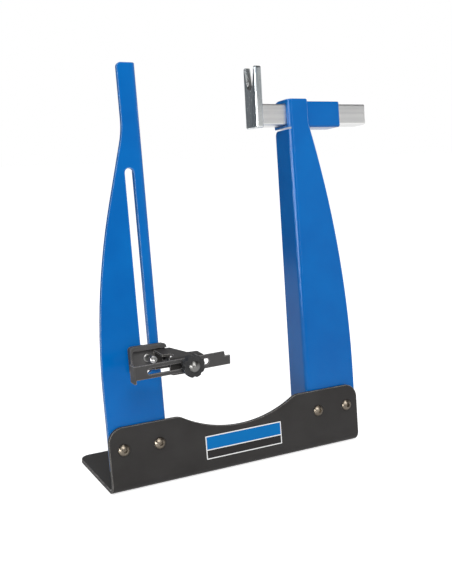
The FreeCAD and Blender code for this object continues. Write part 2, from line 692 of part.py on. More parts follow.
def make_sleeve_tube():
    """Square tube behind the collar that guides the slider."""
    body = new_body("sleeve_tube")
    seat(body, "right_inner + sheet", "slide_up", SLIDE_BACK)
    section = new_sketch(body, "section", "YZ")
    draw_square(section, ("0", "0"), "sleeve_size", "sleeve_corner")
    draw_square(section, ("0", "0"), "(sleeve_size - 2 * sleeve_wall)", "slider_corner")
    pad(body, section, "sleeve_end - right_inner - sheet")
    hole = new_sketch(body, "drag_hole", "XY", lift="-sleeve_size / 2 - 1")
    draw_circle(hole, "drag_along - right_inner - sheet", "0", "drag_size")
    pocket(body, hole, "sleeve_wall + 2", backwards=True, name="DragHole")
    return body


def make_slider_tube():
    body = new_body("slider_tube")
    seat(body, DROPOUT_REAR, "slide_up", SLIDE_BACK)
    section = new_sketch(body, "section", "YZ")
    draw_square(section, ("0", "0"), "slider_size", "slider_corner")
    draw_square(section, ("0", "0"), "(slider_size - 2 * slider_wall)", "edge_soft")
    pad(body, section, f"slider_end - ({DROPOUT_REAR})")
    return body


def make_slider_dropout():
    """Thick plate on the slider's end with a V notch for the axle, opened out on both sides."""
    body = new_body("slider_dropout")
    seat(body, "dropout_left", "slide_up", SLIDE_BACK)
    body.setExpression("Placement.Rotation.Angle", bound("90 - lean + dropout_turn"))
    foot, top, half = "dropout_foot - slide_up", "dropout_top - slide_up", "dropout_width / 2"
    outline = new_sketch(body, "outline", "YZ")
    draw_box(outline, foot, f"-{half}", "(dropout_top - dropout_foot)", "dropout_width",
             "dropout_corner")
    pad(body, outline, "dropout_thick")
    middle = read(f"({foot} + {top}) / 2")
    front = [(x, middle, read(half)) for x in (0, read("dropout_thick"))]
    soften(body, "dropout_edge", edges_at(body, front), "FrontEdges")

    notch = new_sketch(body, "axle_notch", "YZ", lift="dropout_thick + 1")
    draw_notch(notch, "0", top, "slide_up")
    pocket(body, notch, "dropout_thick + 2", name="AxleNotch")
    rise = "(dropout_top - notch_foot - notch_round)"
    gape = read(f"notch_round / cos(notch_half) + {rise} * tan(notch_half)")
    tips = [(read("dropout_thick / 2"), read(top), side * gape) for side in (-1, 1)]
    soften(body, "prong_tip", edges_at(body, tips), "ProngTips")
    for side, mouth, depth, chamfer_size in (
            ("Left", "0", "notch_chamfer", "notch_chamfer"),
            ("Right", "dropout_thick", "dropout_thick - notch_flare", "notch_flare")):
        wide = new_sketch(body, f"{side}_mouth", "YZ", lift=mouth)
        draw_notch(wide, "0", top, "slide_up", chamfer_size)
        narrow = new_sketch(body, f"{side}_depth", "YZ", lift=depth)
        draw_notch(narrow, "0", top, "slide_up")
        chamfer = body.newObject("PartDesign::SubtractiveLoft", f"{side}Chamfer")
        chamfer.Profile = wide
        chamfer.Sections = [narrow]
        chamfer.Ruled = True
    doc.recompute()
    return body


def make_slider_plug():
    """Hollow plastic plug in the slider's open end."""
    body = new_body("slider_plug")
    seat(body, "slider_end - plug_sunk - plug_depth", "slide_up", SLIDE_BACK)
    size = "(slider_size - 2 * slider_wall - 2 * plug_fit)"
    section = new_sketch(body, "section", "YZ")
    draw_square(section, ("0", "0"), size, "edge_soft")
    pad(body, section, "plug_depth")
    hollow = new_sketch(body, "hollow", "YZ")
    draw_square(hollow, ("0", "0"), f"({size} - 2 * plug_wall)", "edge_soft")
    pocket(body, hollow, "plug_depth - plug_wall", backwards=True, name="Hollow")
    return body


def make_slider_drag():
    """A nylon pad, pressed on the slider by a screw that a thin nut locks."""
    pad_foot = "(-slider_size / 2 - plug_fit - drag_pad_length)"
    drag_pad = turned_body("drag_pad", [
        ("0", pad_foot), ("drag_size / 2 - plug_fit", pad_foot),
        ("drag_size / 2 - plug_fit", f"{pad_foot} + drag_pad_length"),
        ("0", f"{pad_foot} + drag_pad_length")])
    screw = turned_body("drag_screw", [
        ("0", f"{pad_foot} - drag_screw_length"),
        ("drag_size / 2", f"{pad_foot} - drag_screw_length"),
        ("drag_size / 2", pad_foot),
        ("0", pad_foot)])
    key = new_sketch(screw, "key", "XY", lift=f"{pad_foot} - drag_screw_length")
    draw_hexagon(key, "drag_size / 2")
    pocket(screw, key, "drag_size / 2", backwards=True, name="Key")
    nut = new_body("drag_locknut")
    hexagon = new_sketch(nut, "hexagon", "XY", lift="-sleeve_size / 2")
    draw_hexagon(hexagon, "drag_nut_flats")
    draw_circle(hexagon, "0", "0", "drag_size")
    pad(nut, hexagon, "drag_nut_height", backwards=True)
    pieces = [drag_pad, screw, nut]
    for piece in pieces:
        seat(piece, "drag_along", "slide_up", SLIDE_BACK)
    return pieces


# ---------------------------------------------------------------- rim gauge: carriage

def make_gauge_bracket():
    """Shallow bracket that rides on the upright: a back plate, a round top rim and a left wall."""
    body = new_body("gauge_bracket")
    seat(body, "bracket_left", "bracket_foot", GAUGE_REAR)
    height = "(bracket_top - bracket_foot)"
    outline = new_sketch(body, "outline", "XY")
    draw_outline(outline, [
        ("0", "0"),
        ("bracket_width", "0"),
        ("bracket_width", f"{height} - bracket_corner"),
        ("bracket_width - bracket_corner", height, "bracket_corner"),
        ("bracket_corner", height),
        ("0", f"{height} - bracket_corner", "bracket_corner")])
    pad(body, outline, "bracket_depth")
    recess = new_sketch(body, "recess", "XY", lift="bracket_depth")
    draw_outline(recess, [
        ("bracket_side", "-1"),
        ("bracket_width + 1", "-1"),
        ("bracket_width + 1", f"{height} - bracket_rim"),
        ("2 * bracket_side", f"{height} - bracket_rim"),
        ("bracket_side", f"{height} - bracket_rim - bracket_side", "bracket_side")])
    pocket(body, recess, "bracket_depth - bracket_back", name="Recess")
    holes = new_sketch(body, "holes", "XY", lift="bracket_depth")
    draw_circle(holes, "slot_centre - bracket_left", "bolt_up - bracket_foot", "clamp_bolt_size")
    for up in RIVET_UPS:
        draw_circle(holes, "rivet_along - bracket_left", f"{up} - bracket_foot", "rivet_size")
    pocket(body, holes, "2 * bracket_depth", name="Holes")
    soften(body, "bracket_edge", edges_in(body, "Z", read("bracket_depth")), "RimEdges")
    return body


def make_slot_guide():
    """Block behind the bracket that runs in the upright's slot and keeps the gauge straight."""
    body = new_body("slot_guide")
    seat(body, "slot_centre", "bolt_up", GAUGE_REAR)
    outline = new_sketch(body, "outline", "XY")
    draw_slot(outline, "-guide_width / 2", "-guide_height / 2", "guide_width", "guide_height")
    draw_circle(outline, "0", "0", "clamp_bolt_size")
    pad(body, outline, "gauge_gap + sheet - guide_short", backwards=True)
    return body


def make_clamp_bolt():
    body = turned_body("clamp_bolt", [
        ("0", "-clamp_bolt_rear"),
        ("clamp_bolt_size / 2 - edge_soft", "-clamp_bolt_rear"),
        ("clamp_bolt_size / 2", "edge_soft - clamp_bolt_rear"),
        ("clamp_bolt_size / 2", "bracket_back"),
        ("clamp_bolt_collar / 2", "bracket_back"),
        ("clamp_bolt_collar / 2", "bracket_back + clamp_bolt_collar_thick"),
        ("clamp_bolt_size / 2", "bracket_back + clamp_bolt_collar_thick"),
        ("clamp_bolt_size / 2", "clamp_bolt_front - edge_soft"),
        ("clamp_bolt_size / 2 - edge_soft", "clamp_bolt_front"),
        ("0", "clamp_bolt_front")])
    seat(body, "slot_centre", "bolt_up", GAUGE_REAR)
    cut_key(body, "clamp_bolt_key", "clamp_bolt_front", "clamp_bolt_key")
    return body


def make_clamp_washer():
    body = ring_body("clamp_washer", f"{CLAMP_FACE} - clamp_washer_thick", "clamp_washer_thick",
                     "clamp_washer_size", "clamp_bolt_size")
    seat(body, "slot_centre", "bolt_up", GAUGE_REAR)
    return body


def make_lobed_knob(name, lobes, size, front, depth, forwards, bore):
    """A knob with scallops all round; its front face lies at a height along its own z."""
    body = new_body(name)
    outline = new_sketch(body, "outline", "XY", lift=front)
    draw_circle(outline, "0", "0", size)
    draw_circle(outline, "0", "0", bore)
    pad(body, outline, depth, backwards=not forwards)
    scallop = new_sketch(body, "scallop", "XY", lift=front)
    draw_circle(scallop, f"{size} * 0.56", "0", f"{size} * {0.9 / lobes + 0.1}")
    cut = pocket(body, scallop, depth, backwards=forwards, name="Scallop")
    ring = body.newObject("PartDesign::PolarPattern", "Scallops")
    ring.Originals = [cut]
    ring.Axis = (scallop, ["N_Axis"])
    ring.Angle = 360
    ring.Occurrences = lobes
    body.Tip = ring
    doc.recompute()
    return body


def make_clamp_knob():
    """Lobed knob behind the upright, with a brass insert on the gauge bolt's thread."""
    front = f"({CLAMP_FACE} - clamp_washer_thick - gauge_gap)"
    knob = make_lobed_knob("clamp_knob", 6, "clamp_knob_size", front, "clamp_knob_depth", False,
                           "clamp_insert_size")
    soften(knob, "bracket_edge", edges_in(knob, "Z", read(f"{front} - clamp_knob_depth")), "Edges")
    insert = ring_body("clamp_knob_insert", f"{front} - clamp_knob_depth + edge_soft",
                       "clamp_knob_depth - edge_soft", "clamp_insert_size",
                       "(clamp_bolt_size + 2 * run_fit)")
    for piece in (knob, insert):
        seat(piece, "slot_centre", "bolt_up", GAUGE_REAR)
    return [knob, insert]


def make_gauge_arm():
    """Bent sheet: a leaning tab on the bracket, a level shelf and an upright flange for the blade."""
    body = new_body("gauge_arm")
    seat_level(body, along="arm_left")

    def on_tab(up, ahead):
        """A point of the leaning frame, u and minus n, in the arm's own upward and forward axes."""
        return (f"{up} * cos(lean) + {ahead} * sin(lean)", f"{ahead} * cos(lean) - {up} * sin(lean)")

    def under_shelf(level, ahead):
        """Where a leaning face meets a level one."""
        return (level, f"({ahead} - {level} * sin(lean)) / cos(lean)")

    rear = "(gauge_gap + bracket_back - sheet)"
    front = f"({rear} + arm_sheet)"
    section = new_sketch(body, "section", "YZ")
    draw_outline(section, [
        on_tab("arm_tab_foot", rear),
        under_shelf("arm_shelf", rear),
        ("arm_shelf", "arm_front"),
        ("arm_foot", "arm_front"),
        ("arm_foot", "arm_front - arm_sheet"),
        ("arm_shelf - arm_sheet", "arm_front - arm_sheet"),
        under_shelf("(arm_shelf - arm_sheet)", front),
        on_tab("arm_tab_foot", front)])
    pad(body, section, "arm_right - arm_left")
    middle = read("(arm_right - arm_left) / 2")

    def bend_line(corner):
        return (middle, read(corner[0]), read(corner[1]))

    outer = [bend_line(under_shelf("arm_shelf", rear)), bend_line(("arm_shelf", "arm_front"))]
    soften(body, "arm_bend", edges_at(body, outer), "OuterBends")
    inner = [bend_line(under_shelf("(arm_shelf - arm_sheet)", front)),
             bend_line(("arm_shelf - arm_sheet", "arm_front - arm_sheet"))]
    soften(body, "arm_bend_inner", edges_at(body, inner), "InnerBends")

    beside = new_sketch(body, "beside_neck", "XZ", lift="-arm_shelf - arm_sheet")
    far = "(arm_right - arm_left)"
    behind = "-arm_shelf"
    draw_outline(beside, [
        (f"arm_neck_front - arm_left - arm_neck_slope * (arm_head_rear - arm_corner - ({behind}))",
         behind),
        ("arm_neck_front - arm_left", "arm_head_rear - arm_corner"),
        ("arm_neck_front - arm_left + arm_corner", "arm_head_rear", "-arm_corner"),
        (f"{far} - arm_corner / 2", "arm_head_rear"),
        (far, "arm_head_rear + arm_corner / 2", "arm_corner / 2"),
        (f"{far} + 1", "arm_head_rear + arm_corner / 2"),
        (f"{far} + 1", behind)])
    pocket(body, beside, "arm_shelf", backwards=True, name="Neck")
    relief = new_sketch(body, "relief", "XZ", lift="-arm_shelf - arm_sheet")
    round_, centre = "arm_relief_round", "(arm_relief_reach - arm_relief_round)"
    draw_outline(relief, [
        ("-1", "arm_relief_rear"),
        (centre, "arm_relief_rear"),
        (f"{centre} + {round_} * cos(arm_relief_turn)",
         f"arm_relief_rear + {round_} + {round_} * sin(arm_relief_turn)", round_),
        ("0", "arm_relief_front"),
        ("-1", "arm_relief_front")])
    pocket(body, relief, "3 * arm_sheet", backwards=True, name="Relief")
    corners = [(x, read("arm_foot"), read("arm_front - arm_sheet / 2")) for x in (0, 2 * middle)]
    soften(body, "arm_corner", edges_at(body, corners), "FlangeCorners")
    holes = new_sketch(body, "bolt_hole", "XY", lift="arm_front + 1")
    draw_circle(holes, "blade_bolt_along - arm_left", "blade_bolt_up", "blade_bolt_size")
    pocket(body, holes, "arm_sheet + 2", name="BoltHole")
    before_tab = f"(({front} + 1) / cos(lean))"
    rivets = new_sketch(body, "rivet_holes", "XY", lift=before_tab, turn="-lean")
    for up in RIVET_UPS:
        draw_circle(rivets, "rivet_along - arm_left", f"{up} + {before_tab} * sin(lean)", "rivet_size")
    pocket(body, rivets, "arm_sheet + 2", name="RivetHoles")
    return body


def make_arm_rivets():
    """Two rivets that hold the arm's tab to the bracket."""
    dome = "(rivet_head * rivet_head / 4 + rivet_dome * rivet_dome) / 2 / rivet_dome"
    foot = "-arm_sheet - bracket_back"
    rivet = turned_body("one_arm_rivet", [
        ("0", foot), ("rivet_size / 2", foot), ("rivet_size / 2", "0"),
        ("rivet_head / 2", "0"), ("0", "rivet_dome", dome)])
    face = "sheet - gauge_gap - bracket_back - arm_sheet"
    return make_group("arm_rivets", rivet, [("rivet_along", up, face) for up in RIVET_UPS])


def make_blade_bolt():
    """Round-headed bolt through the arm's flange that carries the blade and the star knob."""
    body = turned_body("blade_bolt", [
        ("0", "-blade_bolt_head_thick"),
        ("blade_bolt_head / 2 - edge_soft", "-blade_bolt_head_thick"),
        ("blade_bolt_head / 2", "edge_soft - blade_bolt_head_thick"),
        ("blade_bolt_head / 2", "0"),
        ("blade_bolt_size / 2", "0"),
        ("blade_bolt_size / 2", "blade_bolt_length"),
        ("0", "blade_bolt_length")])
    seat_level(body, "blade_bolt_along", "blade_bolt_up", "arm_sheet - arm_front")
    return body


# ---------------------------------------------------------------- rim gauge: blade

def make_blade_guide():
    """Washer with a tongue: it turns on the bolt, and the blade slides along the tongue."""
    body = ring_body("blade_guide", "0", "blade_guide_thick", "blade_guide_size",
                     "(blade_bolt_size + 2 * run_fit)")
    seat_level(body, "blade_bolt_along", "blade_bolt_up", "-arm_front - gauge_gap", tilt="blade_tilt")
    tongue = new_sketch(body, "tongue", "XY", lift="blade_guide_thick")
    width = "(blade_slot_width - 4 * run_fit)"
    draw_slot(tongue, "-blade_guide_tongue / 2", f"-{width} / 2", "blade_guide_tongue", width)
    draw_circle(tongue, "0", "0", "(blade_bolt_size + 2 * run_fit)")
    pad(body, tongue, "gauge_gap + blade_thick", name="Tongue")
    return body


def make_gauge_blade():
    """Flat blade with a slot, a stepped tip on the right and a bent end on the left."""
    body = new_body("gauge_blade")
    seat_level(body, "blade_bolt_along", "blade_bolt_up", BLADE_REAR, tilt="blade_tilt")
    half, left = "blade_height / 2", "(-blade_reach_left)"
    outline = new_sketch(body, "outline", "XY")
    draw_outline(outline, [
        (left, f"-{half} - blade_tab_drop"),
        (f"{left} + blade_thick", f"-{half} - blade_tab_drop"),
        (f"{left} + blade_thick", f"-{half} - edge_soft"),
        (f"{left} + blade_thick + edge_soft", f"-{half}", "-edge_soft"),
        ("blade_reach_right - edge_soft", f"-{half}"),
        ("blade_reach_right", f"edge_soft - {half}", "edge_soft"),
        ("blade_reach_right", f"{half} - blade_step"),
        ("blade_reach_right - blade_tip_length", f"{half} - blade_step"),
        ("blade_reach_right - blade_tip_length", f"{half} - edge_soft"),
        ("blade_reach_right - blade_tip_length - edge_soft", half, "edge_soft"),
        (left, half)])
    pad(body, outline, "blade_thick")
    slot = new_sketch(body, "slot", "XY", lift="blade_thick")
    draw_slot(slot, "-blade_slot_left", "-blade_slot_width / 2",
              "blade_slot_left + blade_slot_right", "blade_slot_width")
    pocket(body, slot, "2 * blade_thick", name="Slot")
    end = new_sketch(body, "bent_end", "XY")
    draw_outline(end, [
        (left, f"-{half} - blade_tab_drop"),
        (f"{left} + blade_thick", f"-{half} - blade_tab_drop"),
        (f"{left} + blade_thick", half),
        (left, half)])
    pad(body, end, "blade_tab_depth - blade_thick", backwards=True, name="BentEnd")
    corner = (read(left), read("-blade_tab_drop / 2"), read("blade_thick"))
    soften(body, "blade_bend", edges_at(body, [corner]), "Bend")
    return body


def make_blade_washer():
    body = ring_body("blade_washer", "0", "blade_washer_thick", "blade_washer_size", "blade_bolt_size")
    seat_level(body, "blade_bolt_along", "blade_bolt_up", f"{BLADE_REAR} - blade_thick - gauge_gap")
    return body


def make_star_knob():
    """Lobed knob in front of the blade, on a brass insert, with a domed metal cap."""
    knob = make_lobed_knob("star_knob", 8, "star_knob_size", "0", "star_knob_depth", True,
                           "star_insert_size")
    soften(knob, "bracket_edge", edges_in(knob, "Z", read("star_knob_depth")), "Edges")
    insert = ring_body("star_knob_insert", "0", "star_insert_depth", "star_insert_size",
                       "(blade_bolt_size + 2 * run_fit)")
    dome = ("(star_cap_size * star_cap_size / 4 + star_cap_height * star_cap_height)"
            " / 2 / star_cap_height")
    cap = turned_body("star_knob_cap", [
        ("0", "star_knob_depth"),
        ("star_cap_size / 2", "star_knob_depth"),
        ("0", "star_knob_depth + star_cap_height", dome)])
    face = f"{BLADE_REAR} - blade_thick - 2 * gauge_gap - blade_washer_thick"
    for piece in (knob, insert, cap):
        seat_level(piece, "blade_bolt_along", "blade_bolt_up", face)
    return [knob, insert, cap]


# ---------------------------------------------------------------- the whole stand

SCREW_PLACES = [f"base_length / 2 {way}" for way in
                ("- screw_outer", "- screw_inner", "+ screw_inner", "+ screw_outer")]
SLIDE_BACK = "2 * sheet + sleeve_size / 2"
DROPOUT_REAR = "dropout_left + dropout_thick"
GAUGE_REAR = "sheet - gauge_gap"
CLAMP_FACE = "-sheet - 2 * gauge_gap"
BLADE_REAR = "-arm_front - 2 * gauge_gap - blade_guide_thick"
RIVET_LOW = "arm_tab_foot + rivet_head / 2 + edge_soft"
RIVET_UPS = [RIVET_LOW, f"{RIVET_LOW} + rivet_head + edge_soft"]

pieces = [
    make_base_plate(), make_front_label(), make_base_screws(), make_base_nuts(),
    make_left_upright(), make_right_upright(), make_sleeve_tube(), *make_slider_drag(),
    make_slider_tube(), make_slider_dropout(), make_slider_plug(),
    make_gauge_bracket(), make_slot_guide(), make_clamp_bolt(), make_clamp_washer(),
    make_gauge_arm(), make_arm_rivets(), make_blade_bolt(), make_blade_washer(),
    *make_clamp_knob(), make_blade_guide(), make_gauge_blade(), *make_star_knob(),
]
doc.recompute()

for thing in doc.Objects:
    if {"Invalid", "Error"} & set(thing.State):
        raise RuntimeError(f"{thing.Name} ({thing.Label}) failed: {thing.State}")
for piece in pieces:
    if piece.Shape.isNull() or not piece.Shape.isValid() or not piece.Shape.Solids:
        raise RuntimeError(f"{piece.Label} has no valid shape")

os.makedirs("parts", exist_ok=True)
for piece in pieces:
    piece.Shape.exportStep(f"parts/{piece.Label}.step")
    box = piece.Shape.BoundBox
    print(f"{piece.Label:20s} {len(piece.Shape.Solids)} solid(s) {piece.Shape.Volume:10.0f} mm3"
          f"  x {box.XMin:.1f}..{box.XMax:.1f}  y {box.YMin:.1f}..{box.YMax:.1f}"
          f"  z {box.ZMin:.1f}..{box.ZMax:.1f}")
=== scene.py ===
# %% [markdown]
# # A bench stand for truing bicycle wheels
# The stand holds a wheel by its axle between two tall steel uprights. The left one is fixed;
# the right one carries a square tube that slides, to suit hubs of different widths. A gauge
# on the left upright shows how far the rim is out of line.
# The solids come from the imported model. This lesson gives them their edges, their small
# turned parts and their finishes, and everything is in metres in the model's own frame.

# %% Load the solids
import json
import math

import bmesh
import bpy
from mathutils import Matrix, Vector


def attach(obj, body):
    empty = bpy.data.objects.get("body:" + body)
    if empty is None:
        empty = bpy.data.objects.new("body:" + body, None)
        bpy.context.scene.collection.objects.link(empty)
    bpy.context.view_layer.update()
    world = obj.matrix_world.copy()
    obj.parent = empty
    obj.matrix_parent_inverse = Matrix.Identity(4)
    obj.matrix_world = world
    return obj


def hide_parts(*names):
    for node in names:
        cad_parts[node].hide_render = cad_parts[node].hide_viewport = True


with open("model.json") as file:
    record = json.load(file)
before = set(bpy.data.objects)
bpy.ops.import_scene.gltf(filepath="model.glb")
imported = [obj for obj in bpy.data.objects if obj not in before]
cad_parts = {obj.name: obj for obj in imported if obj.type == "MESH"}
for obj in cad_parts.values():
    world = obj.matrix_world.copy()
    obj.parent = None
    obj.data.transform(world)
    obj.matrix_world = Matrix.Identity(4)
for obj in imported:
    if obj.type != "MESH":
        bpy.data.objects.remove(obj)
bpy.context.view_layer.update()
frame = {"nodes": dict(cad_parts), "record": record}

MM = 0.001
slot_of = {part["node"]: part["material_slot"] for part in frame["record"]["subparts"]}
body_of = {node: body for body, nodes in frame["record"]["behaviour"]["bodies"].items()
           for node in nodes}

# %% [markdown]
# ## Where things stand
# The front flange and both uprights lean back a little from the vertical, so a small helper
# turns a place along the flange, up it and behind it into a place in the frame. The sizes
# are those of the steel: a 342 mm long base, 123.7 mm deep.

# %% Places in the leaning frame
LEAN = math.radians(8.33)
BASE_LENGTH = 342 * MM
FOOT_DEPTH = 123.7 * MM
SHEET = 4.76 * MM
GAP = 0.3 * MM


def stand_at(along, up, back=0.0):
    """A place measured from the front left corner of the base, in metres."""
    return Vector((along - BASE_LENGTH / 2,
                   up * math.sin(LEAN) + back * math.cos(LEAN) - FOOT_DEPTH / 2,
                   up * math.cos(LEAN) - back * math.sin(LEAN)))


FORWARD_LEANING = (math.pi / 2 - LEAN, 0, 0)
FORWARD_LEVEL = (math.pi / 2, 0, 0)

# %% [markdown]
# ## Building node trees
# Shader trees and geometry trees are both made of nodes with named sockets. A few short
# helpers keep the rest of the lesson readable: they place a node, do a sum, blend two
# colours, move a value to another range, and start a group with named inputs and outputs.

# %% Helpers for nodes


def place(tree, kind, sockets=(), **settings):
    """A new node: each socket gets a value, or a link from another node's output."""
    new = tree.nodes.new(kind)
    for name, value in settings.items():
        setattr(new, name, value)
    for name, value in dict(sockets).items():
        if isinstance(value, bpy.types.NodeSocket):
            tree.links.new(value, new.inputs[name])
        else:
            new.inputs[name].default_value = value
    return new


def maths(tree, operation, *values, clamp=False):
    """The output of one sum."""
    return place(tree, "ShaderNodeMath", enumerate(values), operation=operation,
                 use_clamp=clamp).outputs[0]


def product(tree, first, *others):
    """The output of a chain of multiplications."""
    for other in others:
        first = maths(tree, "MULTIPLY", first, other)
    return first


def blend_colours(tree, share, first, second):
    """A colour between two colours."""
    mix = place(tree, "ShaderNodeMix", {"Factor": share}, data_type="RGBA")
    for socket, value in ((6, first), (7, second)):
        if isinstance(value, bpy.types.NodeSocket):
            tree.links.new(value, mix.inputs[socket])
        else:
            mix.inputs[socket].default_value = (*value, 1)
    return mix.outputs[2]


def spread(tree, value, low, high, from_low=0.0, from_high=1.0):
    """A value moved from one range to another, and kept inside it."""
    return place(tree, "ShaderNodeMapRange", {
        "Value": value, "From Min": from_low, "From Max": from_high,
        "To Min": low, "To Max": high}).outputs["Result"]


def new_group(name, kind, inputs, outputs):
    """An empty node group with named sockets, its input node and its output node."""
    tree = bpy.data.node_groups.new(name, kind)
    for title, socket, value in inputs:
        made = tree.interface.new_socket(title, in_out="INPUT", socket_type=socket)
        if value is not None:
            made.default_value = value
    for title, socket in outputs:
        tree.interface.new_socket(title, in_out="OUTPUT", socket_type=socket)
    return tree, tree.nodes.new("NodeGroupInput"), tree.nodes.new("NodeGroupOutput")


# %% [markdown]
# ## Effects that several finishes share
# Powder coat flows out as it melts and leaves a fine orange peel. It also pulls thin over
# sharp edges, and the paler colour that edges get here is mostly a painted highlight, the
# line of light that a broken edge catches. Drawn and ground metal shows fine lines one way.
# Each effect is a group that puts out a height or a mask, and each finish uses it at its own
# size.

# %% Orange peel, thin coat with a painted edge highlight, and drawn lines
FLOAT, VECTOR = "NodeSocketFloat", "NodeSocketVector"


def make_orange_peel():
    tree, given, result = new_group(
        "orange_peel", "ShaderNodeTree",
        [("Grain mm", FLOAT, 1.0), ("Cloud mm", FLOAT, 60.0)],
        [("Height", FLOAT), ("Cloud", FLOAT)])
    where = place(tree, "ShaderNodeTexCoord").outputs["Object"]
    for size, output, detail in (("Grain mm", "Height", 2.0), ("Cloud mm", "Cloud", 3.0)):
        per_metre = maths(tree, "DIVIDE", 1 / MM, given.outputs[size])
        noise = place(tree, "ShaderNodeTexNoise",
                      {"Vector": where, "Scale": per_metre, "Detail": detail})
        tree.links.new(noise.outputs[0], result.inputs[output])
    return tree


def make_thin_coat_and_painted_highlight():
    tree, given, result = new_group(
        "thin_coat_and_painted_highlight", "ShaderNodeTree",
        [("Width mm", FLOAT, 0.6), ("Patch mm", FLOAT, 8.0)], [("Mask", FLOAT)])
    # The mask marks where a painted highlight goes: a thin band along each edge, broken into
    # patches.
    width = product(tree, given.outputs["Width mm"], MM)
    rounded = place(tree, "ShaderNodeBevel", {"Radius": width}, samples=6).outputs[0]
    flat = place(tree, "ShaderNodeNewGeometry").outputs["Normal"]
    facing = place(tree, "ShaderNodeVectorMath", {0: rounded, 1: flat},
                   operation="DOT_PRODUCT").outputs["Value"]
    edge = spread(tree, facing, 1.0, 0.0, 0.80, 0.995)
    where = place(tree, "ShaderNodeTexCoord").outputs["Object"]
    per_metre = maths(tree, "DIVIDE", 1 / MM, given.outputs["Patch mm"])
    patches = place(tree, "ShaderNodeTexNoise", {"Vector": where, "Scale": per_metre})
    uneven = spread(tree, patches.outputs[0], 0.45, 1.0, 0.35, 0.65)
    tree.links.new(product(tree, edge, uneven), result.inputs["Mask"])
    return tree


def make_drawn_lines():
    tree, given, result = new_group(
        "drawn_lines", "ShaderNodeTree", [("Lines per metre", VECTOR, (20, 3000, 3000))],
        [("Height", FLOAT), ("Tone", FLOAT)])
    where = place(tree, "ShaderNodeTexCoord").outputs["Object"]
    drawn = place(tree, "ShaderNodeVectorMath", {0: where, 1: given.outputs[0]},
                  operation="MULTIPLY").outputs[0]
    fine = place(tree, "ShaderNodeTexNoise", {"Vector": drawn, "Scale": 1.0, "Detail": 3.0})
    broad = place(tree, "ShaderNodeTexNoise", {"Vector": drawn, "Scale": 0.12, "Detail": 2.0})
    tree.links.new(fine.outputs[0], result.inputs["Height"])
    tree.links.new(broad.outputs[0], result.inputs["Tone"])
    return tree


ORANGE_PEEL, THIN_COAT_AND_PAINTED_HIGHLIGHT, DRAWN_LINES = make_orange_peel(), make_thin_coat_and_painted_highlight(), make_drawn_lines()
print("shared effects:", [g.name for g in (ORANGE_PEEL, THIN_COAT_AND_PAINTED_HIGHLIGHT, DRAWN_LINES)])

# %% [markdown]
# ## Finishes
# Each finish is one Principled shader. What is the same all over, such as the specular level,
# is set on the shader's own socket; what changes over the surface comes from the groups.

# %% Helpers for finishes


def start_finish(name, **settings):
    """A material with its tree and its Principled shader."""
    made = bpy.data.materials.new(name)
    made.use_nodes = True
    shader = made.node_tree.nodes["Principled BSDF"]
    for title, value in settings.items():
        shader.inputs[title.replace("_", " ")].default_value = value
    return made, made.node_tree, shader


def use_group(tree, group, **sockets):
    """One of the shared effects, with its sockets set by name."""
    node = place(tree, "ShaderNodeGroup", node_tree=group)
    for title, value in sockets.items():
        node.inputs[title.replace("_", " ")].default_value = value
    return node


def bump(tree, shader, height, depth_mm, strength=1.0):
    """Relief of a given depth on the shader's normal."""
    relief = place(tree, "ShaderNodeBump",
                   {"Height": height, "Distance": depth_mm * MM, "Strength": strength})
    tree.links.new(relief.outputs[0], shader.inputs["Normal"])


def powder_coat(name, deep, pale, edge, edge_highlight_share, rough, grain_mm, depth_mm, **settings):
    """Powder coat: clouded colour, orange peel and a thin paler line on its edges, which is a
    painted highlight.
    """
    made, tree, shader = start_finish(name, **settings)
    peel = use_group(tree, ORANGE_PEEL, Grain_mm=grain_mm, Cloud_mm=55.0)
    # The edge mask blends in a paler colour: a painted highlight along every edge.
    edges = use_group(tree, THIN_COAT_AND_PAINTED_HIGHLIGHT, Width_mm=1.5, Patch_mm=9.0)
    cloud = spread(tree, peel.outputs["Cloud"], 0.0, 1.0, 0.3, 0.7)
    colour = blend_colours(tree, cloud, deep, pale)
    share = product(tree, edges.outputs["Mask"], edge_highlight_share)
    tree.links.new(blend_colours(tree, share, colour, edge), shader.inputs["Base Color"])
    tree.links.new(spread(tree, cloud, rough * 0.9, rough * 1.12), shader.inputs["Roughness"])
    bump(tree, shader, peel.outputs["Height"], depth_mm)
    return made


def bare_metal(name, dark, light, lines, rough, depth_mm, **settings):
    """Metal with lines drawn one way, which vary its tone and its roughness."""
    made, tree, shader = start_finish(name, Metallic=1.0, **settings)
    drawn = use_group(tree, DRAWN_LINES, Lines_per_metre=lines)
    tone = spread(tree, drawn.outputs["Tone"], 0.0, 1.0, 0.3, 0.7)
    tree.links.new(blend_colours(tree, tone, dark, light), shader.inputs["Base Color"])
    tree.links.new(spread(tree, tone, rough * 1.15, rough * 0.85), shader.inputs["Roughness"])
    bump(tree, shader, drawn.outputs["Height"], depth_mm)
    return made


def moulding(name, deep, pale, rough, grain_mm, depth_mm, **settings):
    """Moulded plastic with the fine spark grain of its mould, and a painted highlight on its
    edges.
    """
    made, tree, shader = start_finish(name, **settings)
    peel = use_group(tree, ORANGE_PEEL, Grain_mm=grain_mm, Cloud_mm=12.0)
    # The edge mask lightens the plastic's edges: a painted highlight.
    edges = use_group(tree, THIN_COAT_AND_PAINTED_HIGHLIGHT, Width_mm=0.5, Patch_mm=4.0)
    cloud = spread(tree, peel.outputs["Cloud"], 0.0, 0.6, 0.3, 0.7)
    lit = maths(tree, "ADD", cloud, product(tree, edges.outputs["Mask"], 0.4), clamp=True)
    tree.links.new(blend_colours(tree, lit, deep, pale), shader.inputs["Base Color"])
    tree.links.new(spread(tree, cloud, rough * 0.9, rough * 1.1), shader.inputs["Roughness"])
    bump(tree, shader, peel.outputs["Height"], depth_mm)
    return made


